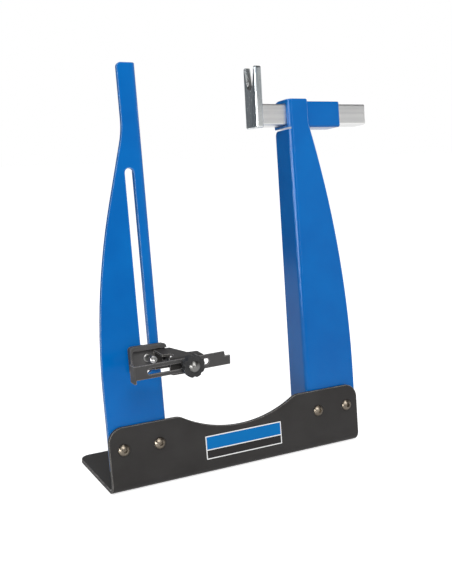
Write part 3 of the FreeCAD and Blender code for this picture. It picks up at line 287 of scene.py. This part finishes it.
# %% [markdown]
# The label is printed film: a blue band over a black one, with a thin white line round both
# and between them. The bands follow the label's own height up the leaning flange, so the
# object's coordinates are first turned upright about the frame's long axis.

# %% The label's print
LABEL_LEFT, LABEL_FOOT = 119 * MM, 20 * MM
LABEL_WIDTH, LABEL_HEIGHT = 105 * MM, 28.4 * MM
LABEL_LINE = 1.2 * MM
LABEL_BAND_SPLIT = 11.4 * MM


def printed_label(name):
    made, tree, shader = start_finish(name, Roughness=0.35, Specular_IOR_Level=0.12)
    corner = stand_at(LABEL_LEFT, LABEL_FOOT)
    where = place(tree, "ShaderNodeTexCoord").outputs["Object"]
    moved = place(tree, "ShaderNodeVectorMath", {0: where, 1: corner}, operation="SUBTRACT")
    upright = place(tree, "ShaderNodeMapping", {"Vector": moved.outputs[0],
                                                "Rotation": (LEAN, 0, 0)})
    spot = place(tree, "ShaderNodeSeparateXYZ", {0: upright.outputs[0]}).outputs
    across, height = spot["X"], spot["Z"]

    def distance(value, line):
        return maths(tree, "ABSOLUTE", maths(tree, "SUBTRACT", value, line))

    from_sides = maths(tree, "SUBTRACT", LABEL_WIDTH / 2, distance(across, LABEL_WIDTH / 2))
    from_ends = maths(tree, "SUBTRACT", LABEL_HEIGHT / 2, distance(height, LABEL_HEIGHT / 2))
    border = maths(tree, "LESS_THAN", maths(tree, "MINIMUM", from_sides, from_ends), LABEL_LINE)
    between = maths(tree, "LESS_THAN", distance(height, LABEL_BAND_SPLIT), LABEL_LINE / 2)
    white = maths(tree, "MAXIMUM", border, between)
    upper = maths(tree, "GREATER_THAN", height, LABEL_BAND_SPLIT)
    peel = use_group(tree, ORANGE_PEEL, Grain_mm=0.7, Cloud_mm=30.0)
    blue = blend_colours(tree, peel.outputs["Cloud"], (0.0, 0.14, 0.42), (0.0, 0.17, 0.48))
    bands = blend_colours(tree, upper, (0.024, 0.022, 0.022), blue)
    tree.links.new(blend_colours(tree, white, bands, (0.88, 0.88, 0.87)),
                   shader.inputs["Base Color"])
    bump(tree, shader, peel.outputs["Height"], 0.01)
    return made


# %% The stand's finishes
# The third colour of each powder coat is its painted edge highlight.
FINISHES = {
    "black_powder_coat": powder_coat(
        "black_powder_coat", (0.033, 0.031, 0.030), (0.045, 0.043, 0.042), (0.46, 0.44, 0.42),
        edge_highlight_share=1.5, rough=0.50, grain_mm=0.7, depth_mm=0.03, Specular_IOR_Level=0.08),
    "blue_powder_coat": powder_coat(
        "blue_powder_coat", (0.0, 0.116, 0.42), (0.0, 0.141, 0.475), (0.42, 0.62, 0.84),
        edge_highlight_share=1.3, rough=0.18, grain_mm=1.6, depth_mm=0.01, Specular_IOR_Level=0.16),
    "label_film": printed_label("label_film"),
    "dark_nickel": bare_metal(
        "dark_nickel", (0.105, 0.088, 0.07), (0.21, 0.18, 0.143),
        lines=(900, 900, 900), rough=0.36, depth_mm=0.004),
    "zinc_plated_steel": bare_metal(
        "zinc_plated_steel", (0.56, 0.56, 0.56), (0.70, 0.70, 0.69),
        lines=(12, 1800, 1800), rough=0.34, depth_mm=0.004),
    "black_oxide_steel": bare_metal(
        "black_oxide_steel", (0.030, 0.030, 0.031), (0.055, 0.054, 0.053),
        lines=(700, 700, 700), rough=0.38, depth_mm=0.004),
    "brass_insert": bare_metal(
        "brass_insert", (0.48, 0.33, 0.12), (0.64, 0.46, 0.19),
        lines=(1200, 1200, 1200), rough=0.28, depth_mm=0.004),
    "black_plastic": moulding(
        "black_plastic", (0.028, 0.028, 0.029), (0.055, 0.055, 0.056),
        rough=0.45, grain_mm=0.35, depth_mm=0.02, Specular_IOR_Level=0.10),
    "nylon": moulding(
        "nylon", (0.64, 0.62, 0.56), (0.74, 0.72, 0.66), rough=0.45, grain_mm=0.5, depth_mm=0.01),
}
print("finishes:", sorted(FINISHES))

# %% [markdown]
# Some solids need a finish of their own from the same functions. The axle plate is ground
# steel: its lines run up the plate, where those of the tube run along it. The gauge's
# bracket and blade are a greyer black than the base, and the star knob's cap is blackened.

# %% Finishes for single solids
# Its third colour is the painted edge highlight.
GREY_BLACK = powder_coat(
    "grey_black_coat", (0.064, 0.062, 0.062), (0.082, 0.080, 0.080), (0.40, 0.39, 0.38),
    edge_highlight_share=1.4, rough=0.50, grain_mm=0.7, depth_mm=0.03, Specular_IOR_Level=0.08)
OWN_FINISHES = {
    "slider_dropout": bare_metal(
        "ground_steel", (0.30, 0.34, 0.36), (0.82, 0.82, 0.81),
        lines=(700, 700, 40), rough=0.25, depth_mm=0.002),
    "star_knob_cap": bare_metal(
        "blackened_steel", (0.13, 0.127, 0.123), (0.17, 0.167, 0.162),
        lines=(700, 700, 700), rough=0.36, depth_mm=0.002),
    "gauge_bracket": GREY_BLACK,
    "gauge_blade": GREY_BLACK,
}


def finish_of(node):
    """The solid's own finish, or the one its slot names."""
    return OWN_FINISHES.get(node, FINISHES[slot_of[node]])


# %% [markdown]
# ## Sheet metal with broken edges
# A laser-cut plate is tumbled or sanded before coating, so no edge is truly sharp and every
# edge catches a line of light. The solid's mesh is loose triangles, so a copy is merged and
# its flat triangles joined, and a Bevel modifier then rounds only the real edges. The copy
# takes the solid's place on the same body.

# %% Copies with rounded edges


def merged_copy(node):
    """A copy of a solid's mesh with its triangles joined into whole faces."""
    mesh = frame["nodes"][node].data.copy()
    work = bmesh.new()
    work.from_mesh(mesh)
    bmesh.ops.remove_doubles(work, verts=work.verts, dist=0.002 * MM)
    bmesh.ops.dissolve_limit(work, angle_limit=math.radians(0.3), verts=work.verts,
                             edges=work.edges)
    work.to_mesh(mesh)
    work.free()
    return mesh


def finish_piece(piece, node):
    """The piece takes the solid's body, slot and finish, and hides the solid."""
    piece.data.materials.clear()
    piece.data.materials.append(finish_of(node))
    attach(piece, body_of[node])
    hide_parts(node)
    return piece


def round_edges(node, width_mm, segments=3):
    """A piece like the solid, with its sharp edges rounded."""
    mesh = merged_copy(node)
    for face in mesh.polygons:
        face.use_smooth = True
    mesh.set_sharp_from_angle(angle=math.radians(32))
    piece = bpy.data.objects.new(node + "_dressed", mesh)
    bpy.context.scene.collection.objects.link(piece)
    edge = piece.modifiers.new("broken_edges", "BEVEL")
    edge.width = width_mm * MM
    edge.segments = segments
    edge.limit_method = "ANGLE"
    edge.angle_limit = math.radians(40)
    edge.use_clamp_overlap = False
    edge.harden_normals = True
    finish_piece(piece, node)
    return piece


PLATE_EDGE_MM = 0.5
for plate in ("base_plate", "left_upright", "right_upright", "sleeve_tube"):
    made = round_edges(plate, PLATE_EDGE_MM)
    print(made.name, len(made.data.polygons), "faces before its edges are rounded")

# %% Plates of the gauge and the slider
SMALL_EDGE_MM = 0.3
for node in ("gauge_bracket", "gauge_arm", "gauge_blade", "slider_tube"):
    made = round_edges(node, SMALL_EDGE_MM)
    print(made.name, len(made.data.polygons), "faces before its edges are rounded")

# %% [markdown]
# ## Turned parts
# Screws, rivets and knobs are all half sections turned about an axis. The section is a short
# line of points, and a geometry tree turns it: a grid has one row for each point of the
# section, and every grid vertex is moved to its row's radius and height at its own angle.

# %% Turning a section in a geometry tree


def section_object(name, points):
    """A half section as a line of points: radius along x, height along z, in millimetres."""
    mesh = bpy.data.meshes.new(name)
    mesh.from_pydata([(r * MM, 0, z * MM) for r, z in points],
                     [(i, i + 1) for i in range(len(points) - 1)], [])
    return bpy.data.objects.new(name, mesh)


def arc(centre, radius, start, end, steps=6):
    """Points of a round stretch of a section, angles in degrees."""
    angles = [math.radians(start + (end - start) * i / steps) for i in range(steps + 1)]
    return [(centre[0] + radius * math.cos(a), centre[1] + radius * math.sin(a))
            for a in angles]


def dome(half_width, foot, rise, steps=10):
    """A shallow dome from its rim to the axis."""
    radius = (half_width ** 2 + rise ** 2) / 2 / rise
    slope = math.degrees(math.asin(half_width / radius))
    return arc((0, foot + rise - radius), radius, 90 - slope, 90, steps)


def turn_section(tree, section, around, pull=None):
    """The section turned about z; pull changes a radius by its angle."""
    points = place(tree, "GeometryNodeAttributeDomainSize", {0: section}).outputs[0]
    columns = maths(tree, "ADD", around, 1)
    grid = place(tree, "GeometryNodeMeshGrid", {"Vertices X": points, "Vertices Y": columns})
    index = place(tree, "GeometryNodeInputIndex").outputs[0]
    row = maths(tree, "FLOOR", maths(tree, "DIVIDE", index, columns))
    column = maths(tree, "SUBTRACT", index, product(tree, row, columns))
    angle = product(tree, maths(tree, "DIVIDE", column, around), math.tau)
    spot = place(tree, "GeometryNodeInputPosition").outputs[0]
    sample = place(tree, "GeometryNodeSampleIndex", {"Geometry": section, "Index": row},
                   data_type="FLOAT_VECTOR")
    tree.links.new(spot, sample.inputs["Value"])
    read = place(tree, "ShaderNodeSeparateXYZ", {0: sample.outputs[0]}).outputs
    radius = read[0] if pull is None else pull(read[0], angle)
    turned = place(tree, "ShaderNodeCombineXYZ", {
        0: product(tree, radius, maths(tree, "COSINE", angle)),
        1: product(tree, radius, maths(tree, "SINE", angle)), 2: read[2]})
    moved = place(tree, "GeometryNodeSetPosition",
                  {"Geometry": grid.outputs["Mesh"], "Position": turned.outputs[0]})
    return place(tree, "GeometryNodeMergeByDistance",
                 {"Geometry": moved.outputs[0], "Distance": 0.005 * MM}).outputs[0]


# %% [markdown]
# The finished part is set at each of its places, turned to face the way it does, and made
# real, because an instance has no mesh of its own to keep.

# %% Trees for turned and lobed parts
GEOMETRY, OBJECT, MATERIAL = "NodeSocketGeometry", "NodeSocketObject", "NodeSocketMaterial"
ROTATION, WHOLE = "NodeSocketVector", "NodeSocketInt"
COMMON_INPUTS = [("Section", GEOMETRY, None), ("Places", OBJECT, None),
                 ("Facing", ROTATION, (0, 0, 0)), ("Around", WHOLE, 48),
                 ("Material", MATERIAL, None)]


def set_at_places(tree, given, result, part):
    """One copy of the part at each place, made real and given its finish."""
    places = place(tree, "GeometryNodeObjectInfo", {"Object": given.outputs["Places"]},
                   transform_space="ORIGINAL").outputs["Geometry"]
    facing = place(tree, "FunctionNodeEulerToRotation",
                   {"Euler": given.outputs["Facing"]}).outputs[0]
    copies = place(tree, "GeometryNodeInstanceOnPoints",
                   {"Points": places, "Instance": part, "Rotation": facing})
    real = place(tree, "GeometryNodeRealizeInstances", {0: copies.outputs[0]})
    coated = place(tree, "GeometryNodeSetMaterial",
                   {"Geometry": real.outputs[0], "Material": given.outputs["Material"]})
    tree.links.new(coated.outputs[0], result.inputs[0])


def make_turned_tree():
    """A turned part with a hexagon key cut in its head."""
    tree, given, result = new_group(
        "turned_parts", "GeometryNodeTree",
        COMMON_INPUTS + [("Key radius", FLOAT, 0.0), ("Key top", FLOAT, 0.0),
                         ("Key depth", FLOAT, 0.0)],
        [("Geometry", GEOMETRY)])
    part = turn_section(tree, given.outputs["Section"], given.outputs["Around"])
    depth = given.outputs["Key depth"]
    tool = place(tree, "GeometryNodeMeshCylinder",
                 {"Vertices": 6, "Radius": given.outputs["Key radius"],
                  "Depth": product(tree, depth, 2)})
    above = place(tree, "ShaderNodeCombineXYZ", {2: given.outputs["Key top"]}).outputs[0]
    lifted = place(tree, "GeometryNodeTransform",
                   {"Geometry": tool.outputs["Mesh"], "Translation": above})
    cut = place(tree, "GeometryNodeMeshBoolean", {"Mesh 1": part}, operation="DIFFERENCE")
    tree.links.new(lifted.outputs[0], cut.inputs["Mesh 2"])
    keyed = place(tree, "FunctionNodeCompare", {0: depth, 1: 0.0}, operation="GREATER_THAN")
    chosen = place(tree, "GeometryNodeSwitch", {"Switch": keyed.outputs[0], "False": part,
                                                "True": cut.outputs[0]},
                   input_type="GEOMETRY")
    set_at_places(tree, given, result, chosen.outputs[0])
    return tree


def make_lobed_tree():
    """A turned knob whose rim is scalloped by a ring of round cutters."""
    tree, given, result = new_group(
        "lobed_knob", "GeometryNodeTree",
        COMMON_INPUTS + [("Lobes", WHOLE, 8), ("Size", FLOAT, 0.025),
                         ("Cutter centre", FLOAT, 0.0), ("Cutter radius", FLOAT, 0.0),
                         ("Hub radius", FLOAT, 0.0)],
        [("Geometry", GEOMETRY)])
    half = product(tree, given.outputs["Size"], 0.5)

    def scallop(radius, angle):
        """The radius cut back to the nearest cutter, less and less towards the hub."""
        centre, cutter = given.outputs["Cutter centre"], given.outputs["Cutter radius"]
        pitch = maths(tree, "DIVIDE", math.pi, given.outputs["Lobes"])
        off = maths(tree, "WRAP", angle, pitch, product(tree, pitch, -1))
        side = product(tree, centre, maths(tree, "SINE", off))
        room = maths(tree, "SUBTRACT", product(tree, cutter, cutter),
                     product(tree, side, side))
        reach = maths(tree, "SQRT", maths(tree, "MAXIMUM", room, 0))
        near = maths(tree, "SUBTRACT", product(tree, centre, maths(tree, "COSINE", off)), reach)
        inside = maths(tree, "GREATER_THAN", room, 0)
        cut = maths(tree, "SUBTRACT", 1,
                    maths(tree, "MINIMUM", maths(tree, "DIVIDE", near, half), 1))
        share = place(tree, "ShaderNodeMapRange", {
            "Value": radius, "From Min": given.outputs["Hub radius"], "From Max": half,
            "To Min": 0, "To Max": 1}, interpolation_type="SMOOTHSTEP").outputs["Result"]
        loss = product(tree, cut, inside, share)
        return product(tree, radius, maths(tree, "SUBTRACT", 1, loss))

    part = turn_section(tree, given.outputs["Section"], given.outputs["Around"], scallop)
    set_at_places(tree, given, result, part)
    return tree


TURNED, LOBED = make_turned_tree(), make_lobed_tree()


def grow(name, node, tree, section, places, facing, **sizes):
    """Runs a tree on a section and keeps the result as a plain mesh in place of a solid."""
    start = section_object(name + "_section", section)
    bpy.context.scene.collection.objects.link(start)
    spots = bpy.data.meshes.new(name + "_places")
    spots.from_pydata([tuple(spot) for spot in places], [], [])
    marks = bpy.data.objects.new(name + "_places", spots)
    bpy.context.scene.collection.objects.link(marks)
    modifier = start.modifiers.new("tree", "NODES")
    modifier.node_group = tree
    values = {"Places": marks, "Facing": facing, "Material": finish_of(node), **sizes}
    for item in tree.interface.items_tree:
        if item.in_out == "INPUT" and item.name in values:
            modifier[item.identifier] = values[item.name]
    bpy.context.view_layer.update()
    evaluated = start.evaluated_get(bpy.context.evaluated_depsgraph_get())
    mesh = bpy.data.meshes.new_from_object(evaluated)
    start.modifiers.remove(modifier)
    for helper in (start, marks):
        bpy.data.objects.remove(helper)
    work = bmesh.new()
    work.from_mesh(mesh)
    bmesh.ops.remove_doubles(work, verts=work.verts, dist=0.002 * MM)
    bmesh.ops.recalc_face_normals(work, faces=work.faces)
    work.to_mesh(mesh)
    work.free()
    for face in mesh.polygons:
        face.use_smooth = True
    mesh.set_sharp_from_angle(angle=math.radians(38))
    piece = bpy.data.objects.new(name, mesh)
    bpy.context.scene.collection.objects.link(piece)
    finish_piece(piece, node)
    print(name, len(mesh.polygons), "faces")
    return piece


# %% [markdown]
# ## Base screws
# Four dome-headed screws hold the uprights to the flange. Each head is a short straight rim,
# a dome and a hexagon socket, and the shank runs through to a nut.

# %% Base screws
SCREW_UP = 52 * MM
SCREW_OUTER, SCREW_INNER = 154 * MM, 110 * MM
SCREW_HEAD, SCREW_DOME, SCREW_SIZE, SCREW_SHANK = 14, 4.4, 8, 18.5
SCREW_RIM = SCREW_DOME / 6
KEY_FLATS = 5
screw_places = [stand_at(BASE_LENGTH / 2 + side, SCREW_UP)
                for side in (-SCREW_OUTER, -SCREW_INNER, SCREW_INNER, SCREW_OUTER)]
screw_section = [(0, -SCREW_SHANK), (SCREW_SIZE / 2 - 0.5, -SCREW_SHANK),
                 (SCREW_SIZE / 2, 0.5 - SCREW_SHANK), (SCREW_SIZE / 2, 0),
                 (SCREW_HEAD / 2, 0), (SCREW_HEAD / 2, SCREW_RIM)]
screw_section += dome(SCREW_HEAD / 2, SCREW_RIM, SCREW_DOME - SCREW_RIM)[1:]
grow("domed_screws", "base_screws", TURNED, screw_section, screw_places, FORWARD_LEANING,
     **{"Key radius": KEY_FLATS / math.sqrt(3) * MM, "Key top": SCREW_DOME * MM,
        "Key depth": SCREW_DOME * 0.6 * MM})

# %% [markdown]
# ## Arm rivets
# Two domed rivets join the arm's tab to the bracket. They are the same turned shape without
# a key.

# %% Arm rivets
RIVET_SIZE, RIVET_HEAD, RIVET_DOME, ARM_SHEET, BRACKET_BACK = 3.2, 6, 1.6, 2.5, 3
RIVET_ALONG, TAB_FOOT, RIVET_ROOM = 75 * MM, 138, 0.5
rivet_low = TAB_FOOT + RIVET_HEAD / 2 + RIVET_ROOM
rivet_ups = (rivet_low, rivet_low + RIVET_HEAD + RIVET_ROOM)
rivet_back = (SHEET - GAP) / MM - BRACKET_BACK - ARM_SHEET
rivet_places = [stand_at(RIVET_ALONG, up * MM, rivet_back * MM) for up in rivet_ups]
rivet_section = [(0, -ARM_SHEET - BRACKET_BACK), (RIVET_SIZE / 2, -ARM_SHEET - BRACKET_BACK),
                 (RIVET_SIZE / 2, 0), (RIVET_HEAD / 2, 0)]
rivet_section += dome(RIVET_HEAD / 2, 0, RIVET_DOME)[1:]
grow("domed_rivets", "arm_rivets", TURNED, rivet_section, rivet_places, FORWARD_LEANING,
     Around=32)

# %% [markdown]
# ## Knobs
# Both knobs are moulded discs scalloped for the fingers. The star knob in front locks the
# blade and has a domed cap over its bore; the clamp knob behind the upright locks the gauge
# in its slot. Where a knob starts follows from what lies under it, each with its gap.

# %% A knob's finger hollows


def lobe_sizes(count, size_mm, hub_mm):
    """The ring of round cutters, centred just outside the knob's rim."""
    return {"Lobes": count, "Size": size_mm * MM, "Hub radius": hub_mm * MM,
            "Cutter centre": size_mm * 0.56 * MM,
            "Cutter radius": size_mm * (0.9 / count + 0.1) / 2 * MM}


# %% Star knob
GAP_MM = GAP / MM
ARM_FRONT, BLADE_GUIDE, BLADE_SHEET, BLADE_WASHER = 24.2, 1.2, 2.5, 1.2
BLADE_BOLT_ALONG, BLADE_BOLT_UP = 85.2 * MM, 152.3 * MM
STAR_SIZE, STAR_DEPTH, STAR_INSERT = 25.5, 9, 4
STAR_CAP, STAR_CAP_RISE = 13, 4
star_back = -(ARM_FRONT + BLADE_GUIDE + BLADE_SHEET + BLADE_WASHER + 4 * GAP_MM)
star_place = Vector((BLADE_BOLT_ALONG - BASE_LENGTH / 2, star_back * MM - FOOT_DEPTH / 2,
                     BLADE_BOLT_UP))
star_section = [(STAR_INSERT, STAR_DEPTH), (STAR_INSERT, 0), (STAR_SIZE / 2, 0)]
star_section += arc((STAR_SIZE / 2 - 1, STAR_DEPTH - 1), 1, 0, 90)
star_section += [(STAR_INSERT, STAR_DEPTH)]
grow("star_knob_moulding", "star_knob", LOBED, star_section, [star_place], FORWARD_LEVEL,
     Around=192, **lobe_sizes(8, STAR_SIZE, 7))

cap_section = [(0, STAR_DEPTH), (STAR_CAP / 2, STAR_DEPTH)]
cap_section += dome(STAR_CAP / 2, STAR_DEPTH, STAR_CAP_RISE, steps=16)[1:]
grow("star_knob_dome", "star_knob_cap", TURNED, cap_section, [star_place], FORWARD_LEVEL,
     Around=64)

# %% Clamp knob
CLAMP_SIZE, CLAMP_DEPTH, CLAMP_INSERT, CLAMP_WASHER = 26, 13, 6, 1.6
CLAMP_BOLT_ALONG, CLAMP_BOLT_UP = 55.3 * MM, 152.7 * MM
clamp_front = -(SHEET / MM + CLAMP_WASHER + 3 * GAP_MM)
clamp_place = stand_at(CLAMP_BOLT_ALONG, CLAMP_BOLT_UP, SHEET - GAP)
clamp_back = clamp_front - CLAMP_DEPTH
clamp_section = [(CLAMP_INSERT, clamp_front), (CLAMP_SIZE / 2, clamp_front)]
clamp_section += arc((CLAMP_SIZE / 2 - 1, clamp_back + 1), 1, 0, -90)
clamp_section += [(CLAMP_INSERT, clamp_back), (CLAMP_INSERT, clamp_front)]
grow("clamp_knob_moulding", "clamp_knob", LOBED, clamp_section, [clamp_place],
     FORWARD_LEANING, Around=192, **lobe_sizes(6, CLAMP_SIZE, 8))

# %% [markdown]
# ## Small solids that keep their own mesh
# The axle plate, washers, nuts, bolts, inserts and the label are the right shape already, so
# they only take their finish.

# %% Finishes on the other solids
for node, solid in frame["nodes"].items():
    if not solid.hide_render:
        solid.data.materials.clear()
        solid.data.materials.append(finish_of(node))
        print(node, "takes", finish_of(node).name)

# %% [markdown]
# ## Floor, lights and camera
# The stand is on a plain white sweep. Seen straight, the floor is lifted to white so that
# only its shadow shows. The world lights everything evenly, and one wide lamp on the front
# left gives the faces their level.

# %% Floor
FLOOR_HALF, FLOOR_WHITE, FLOOR_LIFT = 6.0, 0.8, 0.66


def make_floor():
    mesh = bpy.data.meshes.new("floor")
    mesh.from_pydata([(x * FLOOR_HALF, y * FLOOR_HALF, 0)
                      for x, y in ((-1, -1), (1, -1), (1, 1), (-1, 1))], [], [(0, 1, 2, 3)])
    floor = bpy.data.objects.new("floor", mesh)
    bpy.context.scene.collection.objects.link(floor)
    made, tree, shader = start_finish("white_sweep", Roughness=0.9, Specular_IOR_Level=0.0)
    shader.inputs["Base Color"].default_value = (FLOOR_WHITE, FLOOR_WHITE, FLOOR_WHITE, 1)
    path = place(tree, "ShaderNodeLightPath").outputs
    seen = maths(tree, "MAXIMUM", path["Is Camera Ray"],
                 maths(tree, "MAXIMUM", path["Is Glossy Ray"], path["Is Transmission Ray"]))
    lift = place(tree, "ShaderNodeEmission", {"Strength": product(tree, seen, FLOOR_LIFT)})
    both = place(tree, "ShaderNodeAddShader", {0: shader.outputs[0], 1: lift.outputs[0]})
    tree.links.new(both.outputs[0], tree.nodes["Material Output"].inputs["Surface"])
    mesh.materials.append(made)


make_floor()

# %% [markdown]
# To a mirror the room has more in it. Its front wall is dim on the left and white on the
# right, its ceiling is dark, and two bright windows draw the lines of light down the folds.
# The left window ends low, or the flat foot would glare when seen from the right; the front
# one starts above the level tube. A direction's side, ahead and up run from -1 to 1, and each
# pair below says between which two values a part of the room fades in or out.

# %% World
ROOM_LEVEL, ROOM_FADE = 0.54, (-0.9, 0.2)
BACK_FADE = (-0.1, 0.3)
FRONT_DIM, FRONT_LIT, FRONT_FADE = 0.25, 1.0, (0.32, 0.58)
CEILING, CEILING_FADE = 0.12, (0.22, 0.5)
LEFT_WINDOW, LEFT_FADE, LEFT_TOP = 21.0, (-0.87, -0.68), (0.15, 0.25)
FRONT_WINDOW, FRONT_WINDOW_SIDE = 5.0, 0.05
FRONT_WINDOW_FADE, FRONT_WINDOW_FOOT = (0.10, 0.16), (0.02, 0.10)


def mirrored_room(tree, side, ahead, up):
    """The strength that a mirror sees in one direction."""
    front = spread(tree, side, FRONT_DIM, FRONT_LIT, *FRONT_FADE)
    behind = spread(tree, ahead, 0.0, 1.0, *BACK_FADE)
    walls = maths(tree, "ADD", behind,
                  product(tree, maths(tree, "SUBTRACT", 1, behind), front))
    room = product(tree, walls, spread(tree, up, 1.0, CEILING, *CEILING_FADE))
    left = product(tree, spread(tree, side, LEFT_WINDOW, 0.0, *LEFT_FADE),
                   spread(tree, up, 1.0, 0.0, *LEFT_TOP))
    off = maths(tree, "ABSOLUTE", maths(tree, "SUBTRACT", side, FRONT_WINDOW_SIDE))
    strip = product(tree, spread(tree, off, FRONT_WINDOW, 0.0, *FRONT_WINDOW_FADE),
                    maths(tree, "LESS_THAN", ahead, 0),
                    spread(tree, up, 0.0, 1.0, *FRONT_WINDOW_FOOT))
    return maths(tree, "ADD", room, maths(tree, "ADD", left, strip))


def make_world():
    world = bpy.data.worlds.new("studio")
    world.use_nodes = True
    tree = world.node_tree
    path = place(tree, "ShaderNodeLightPath").outputs
    way = place(tree, "ShaderNodeSeparateXYZ",
                {0: place(tree, "ShaderNodeTexCoord").outputs["Generated"]}).outputs
    diffuse = spread(tree, way[0], 0.5 * ROOM_LEVEL, 1.08 * ROOM_LEVEL, *ROOM_FADE)
    glossy = maths(tree, "MAXIMUM", path["Is Glossy Ray"], path["Is Transmission Ray"])
    shown = maths(tree, "ADD", product(tree, glossy, mirrored_room(tree, *way[0:3])),
                  product(tree, maths(tree, "SUBTRACT", 1, glossy), diffuse))
    level = maths(tree, "MAXIMUM", shown, path["Is Camera Ray"])
    tree.links.new(level, tree.nodes["Background"].inputs["Strength"])
    tree.nodes["Background"].inputs["Color"].default_value = (1, 1, 1, 1)
    bpy.context.scene.world = world


make_world()

# %% Lamp


def add_lamp(name, position, target, width, height, watts):
    data = bpy.data.lights.new(name, "AREA")
    data.shape, data.size, data.size_y, data.energy = "RECTANGLE", width, height, watts
    lamp = bpy.data.objects.new(name, data)
    lamp.location = position
    lamp.rotation_mode = "QUATERNION"
    lamp.rotation_quaternion = (Vector(target) - Vector(position)).to_track_quat("-Z", "Y")
    bpy.context.scene.collection.objects.link(lamp)


add_lamp("front_softbox", (-0.7, -1.7, 1.9), (0, 0, 0.2), width=1.2, height=1.2, watts=40)

# %% [markdown]
# A grey card stands behind the stand on the left, as a photographer would put it there. The
# steel's left faces would otherwise mirror only white backdrop and lose their shape. The card
# casts no shadow and takes no light away; only a mirror sees it.

# %% Grey card
CARD_CENTRE, CARD_ACROSS = (-0.75, 0.95), (0.75, 0.66)
CARD_HALF_WIDTH, CARD_FOOT, CARD_HEIGHT = 0.75, 0.002, 0.9
CARD_GREY = (0.24, 0.26, 0.28)


def make_card():
    across = Vector(CARD_ACROSS).normalized() * CARD_HALF_WIDTH
    ends = [Vector(CARD_CENTRE) + side * across for side in (-1, 1)]
    mesh = bpy.data.meshes.new("grey_card")
    corners = [(*end, height) for height in (CARD_FOOT, CARD_HEIGHT) for end in ends]
    mesh.from_pydata(corners, [], [(0, 1, 3, 2)])
    card = bpy.data.objects.new("grey_card", mesh)
    bpy.context.scene.collection.objects.link(card)
    made, tree, shader = start_finish("grey_card", Roughness=0.9, Specular_IOR_Level=0.0)
    shader.inputs["Base Color"].default_value = (*CARD_GREY, 1)
    mesh.materials.append(made)
    card.visible_camera = card.visible_diffuse = card.visible_shadow = False


make_card()

# %% Camera
CAMERA_YAW, CAMERA_PITCH = 29.76, 14.73
CAMERA_PLACE = (-0.46322, -0.89342, 0.42057)
LENS_MM, SENSOR_MM, LENS_SHIFT = 51.6, 36, (-0.0497, 0.0702)


def make_camera():
    data = bpy.data.cameras.new("camera")
    data.lens, data.sensor_width = LENS_MM, SENSOR_MM
    data.shift_x, data.shift_y = LENS_SHIFT
    camera = bpy.data.objects.new("camera", data)
    camera.location = CAMERA_PLACE
    camera.rotation_euler = (math.radians(90 - CAMERA_PITCH), 0, -math.radians(CAMERA_YAW))
    bpy.context.scene.collection.objects.link(camera)
    bpy.context.scene.camera = camera


make_camera()
bpy.context.scene.view_settings.view_transform = "Standard"
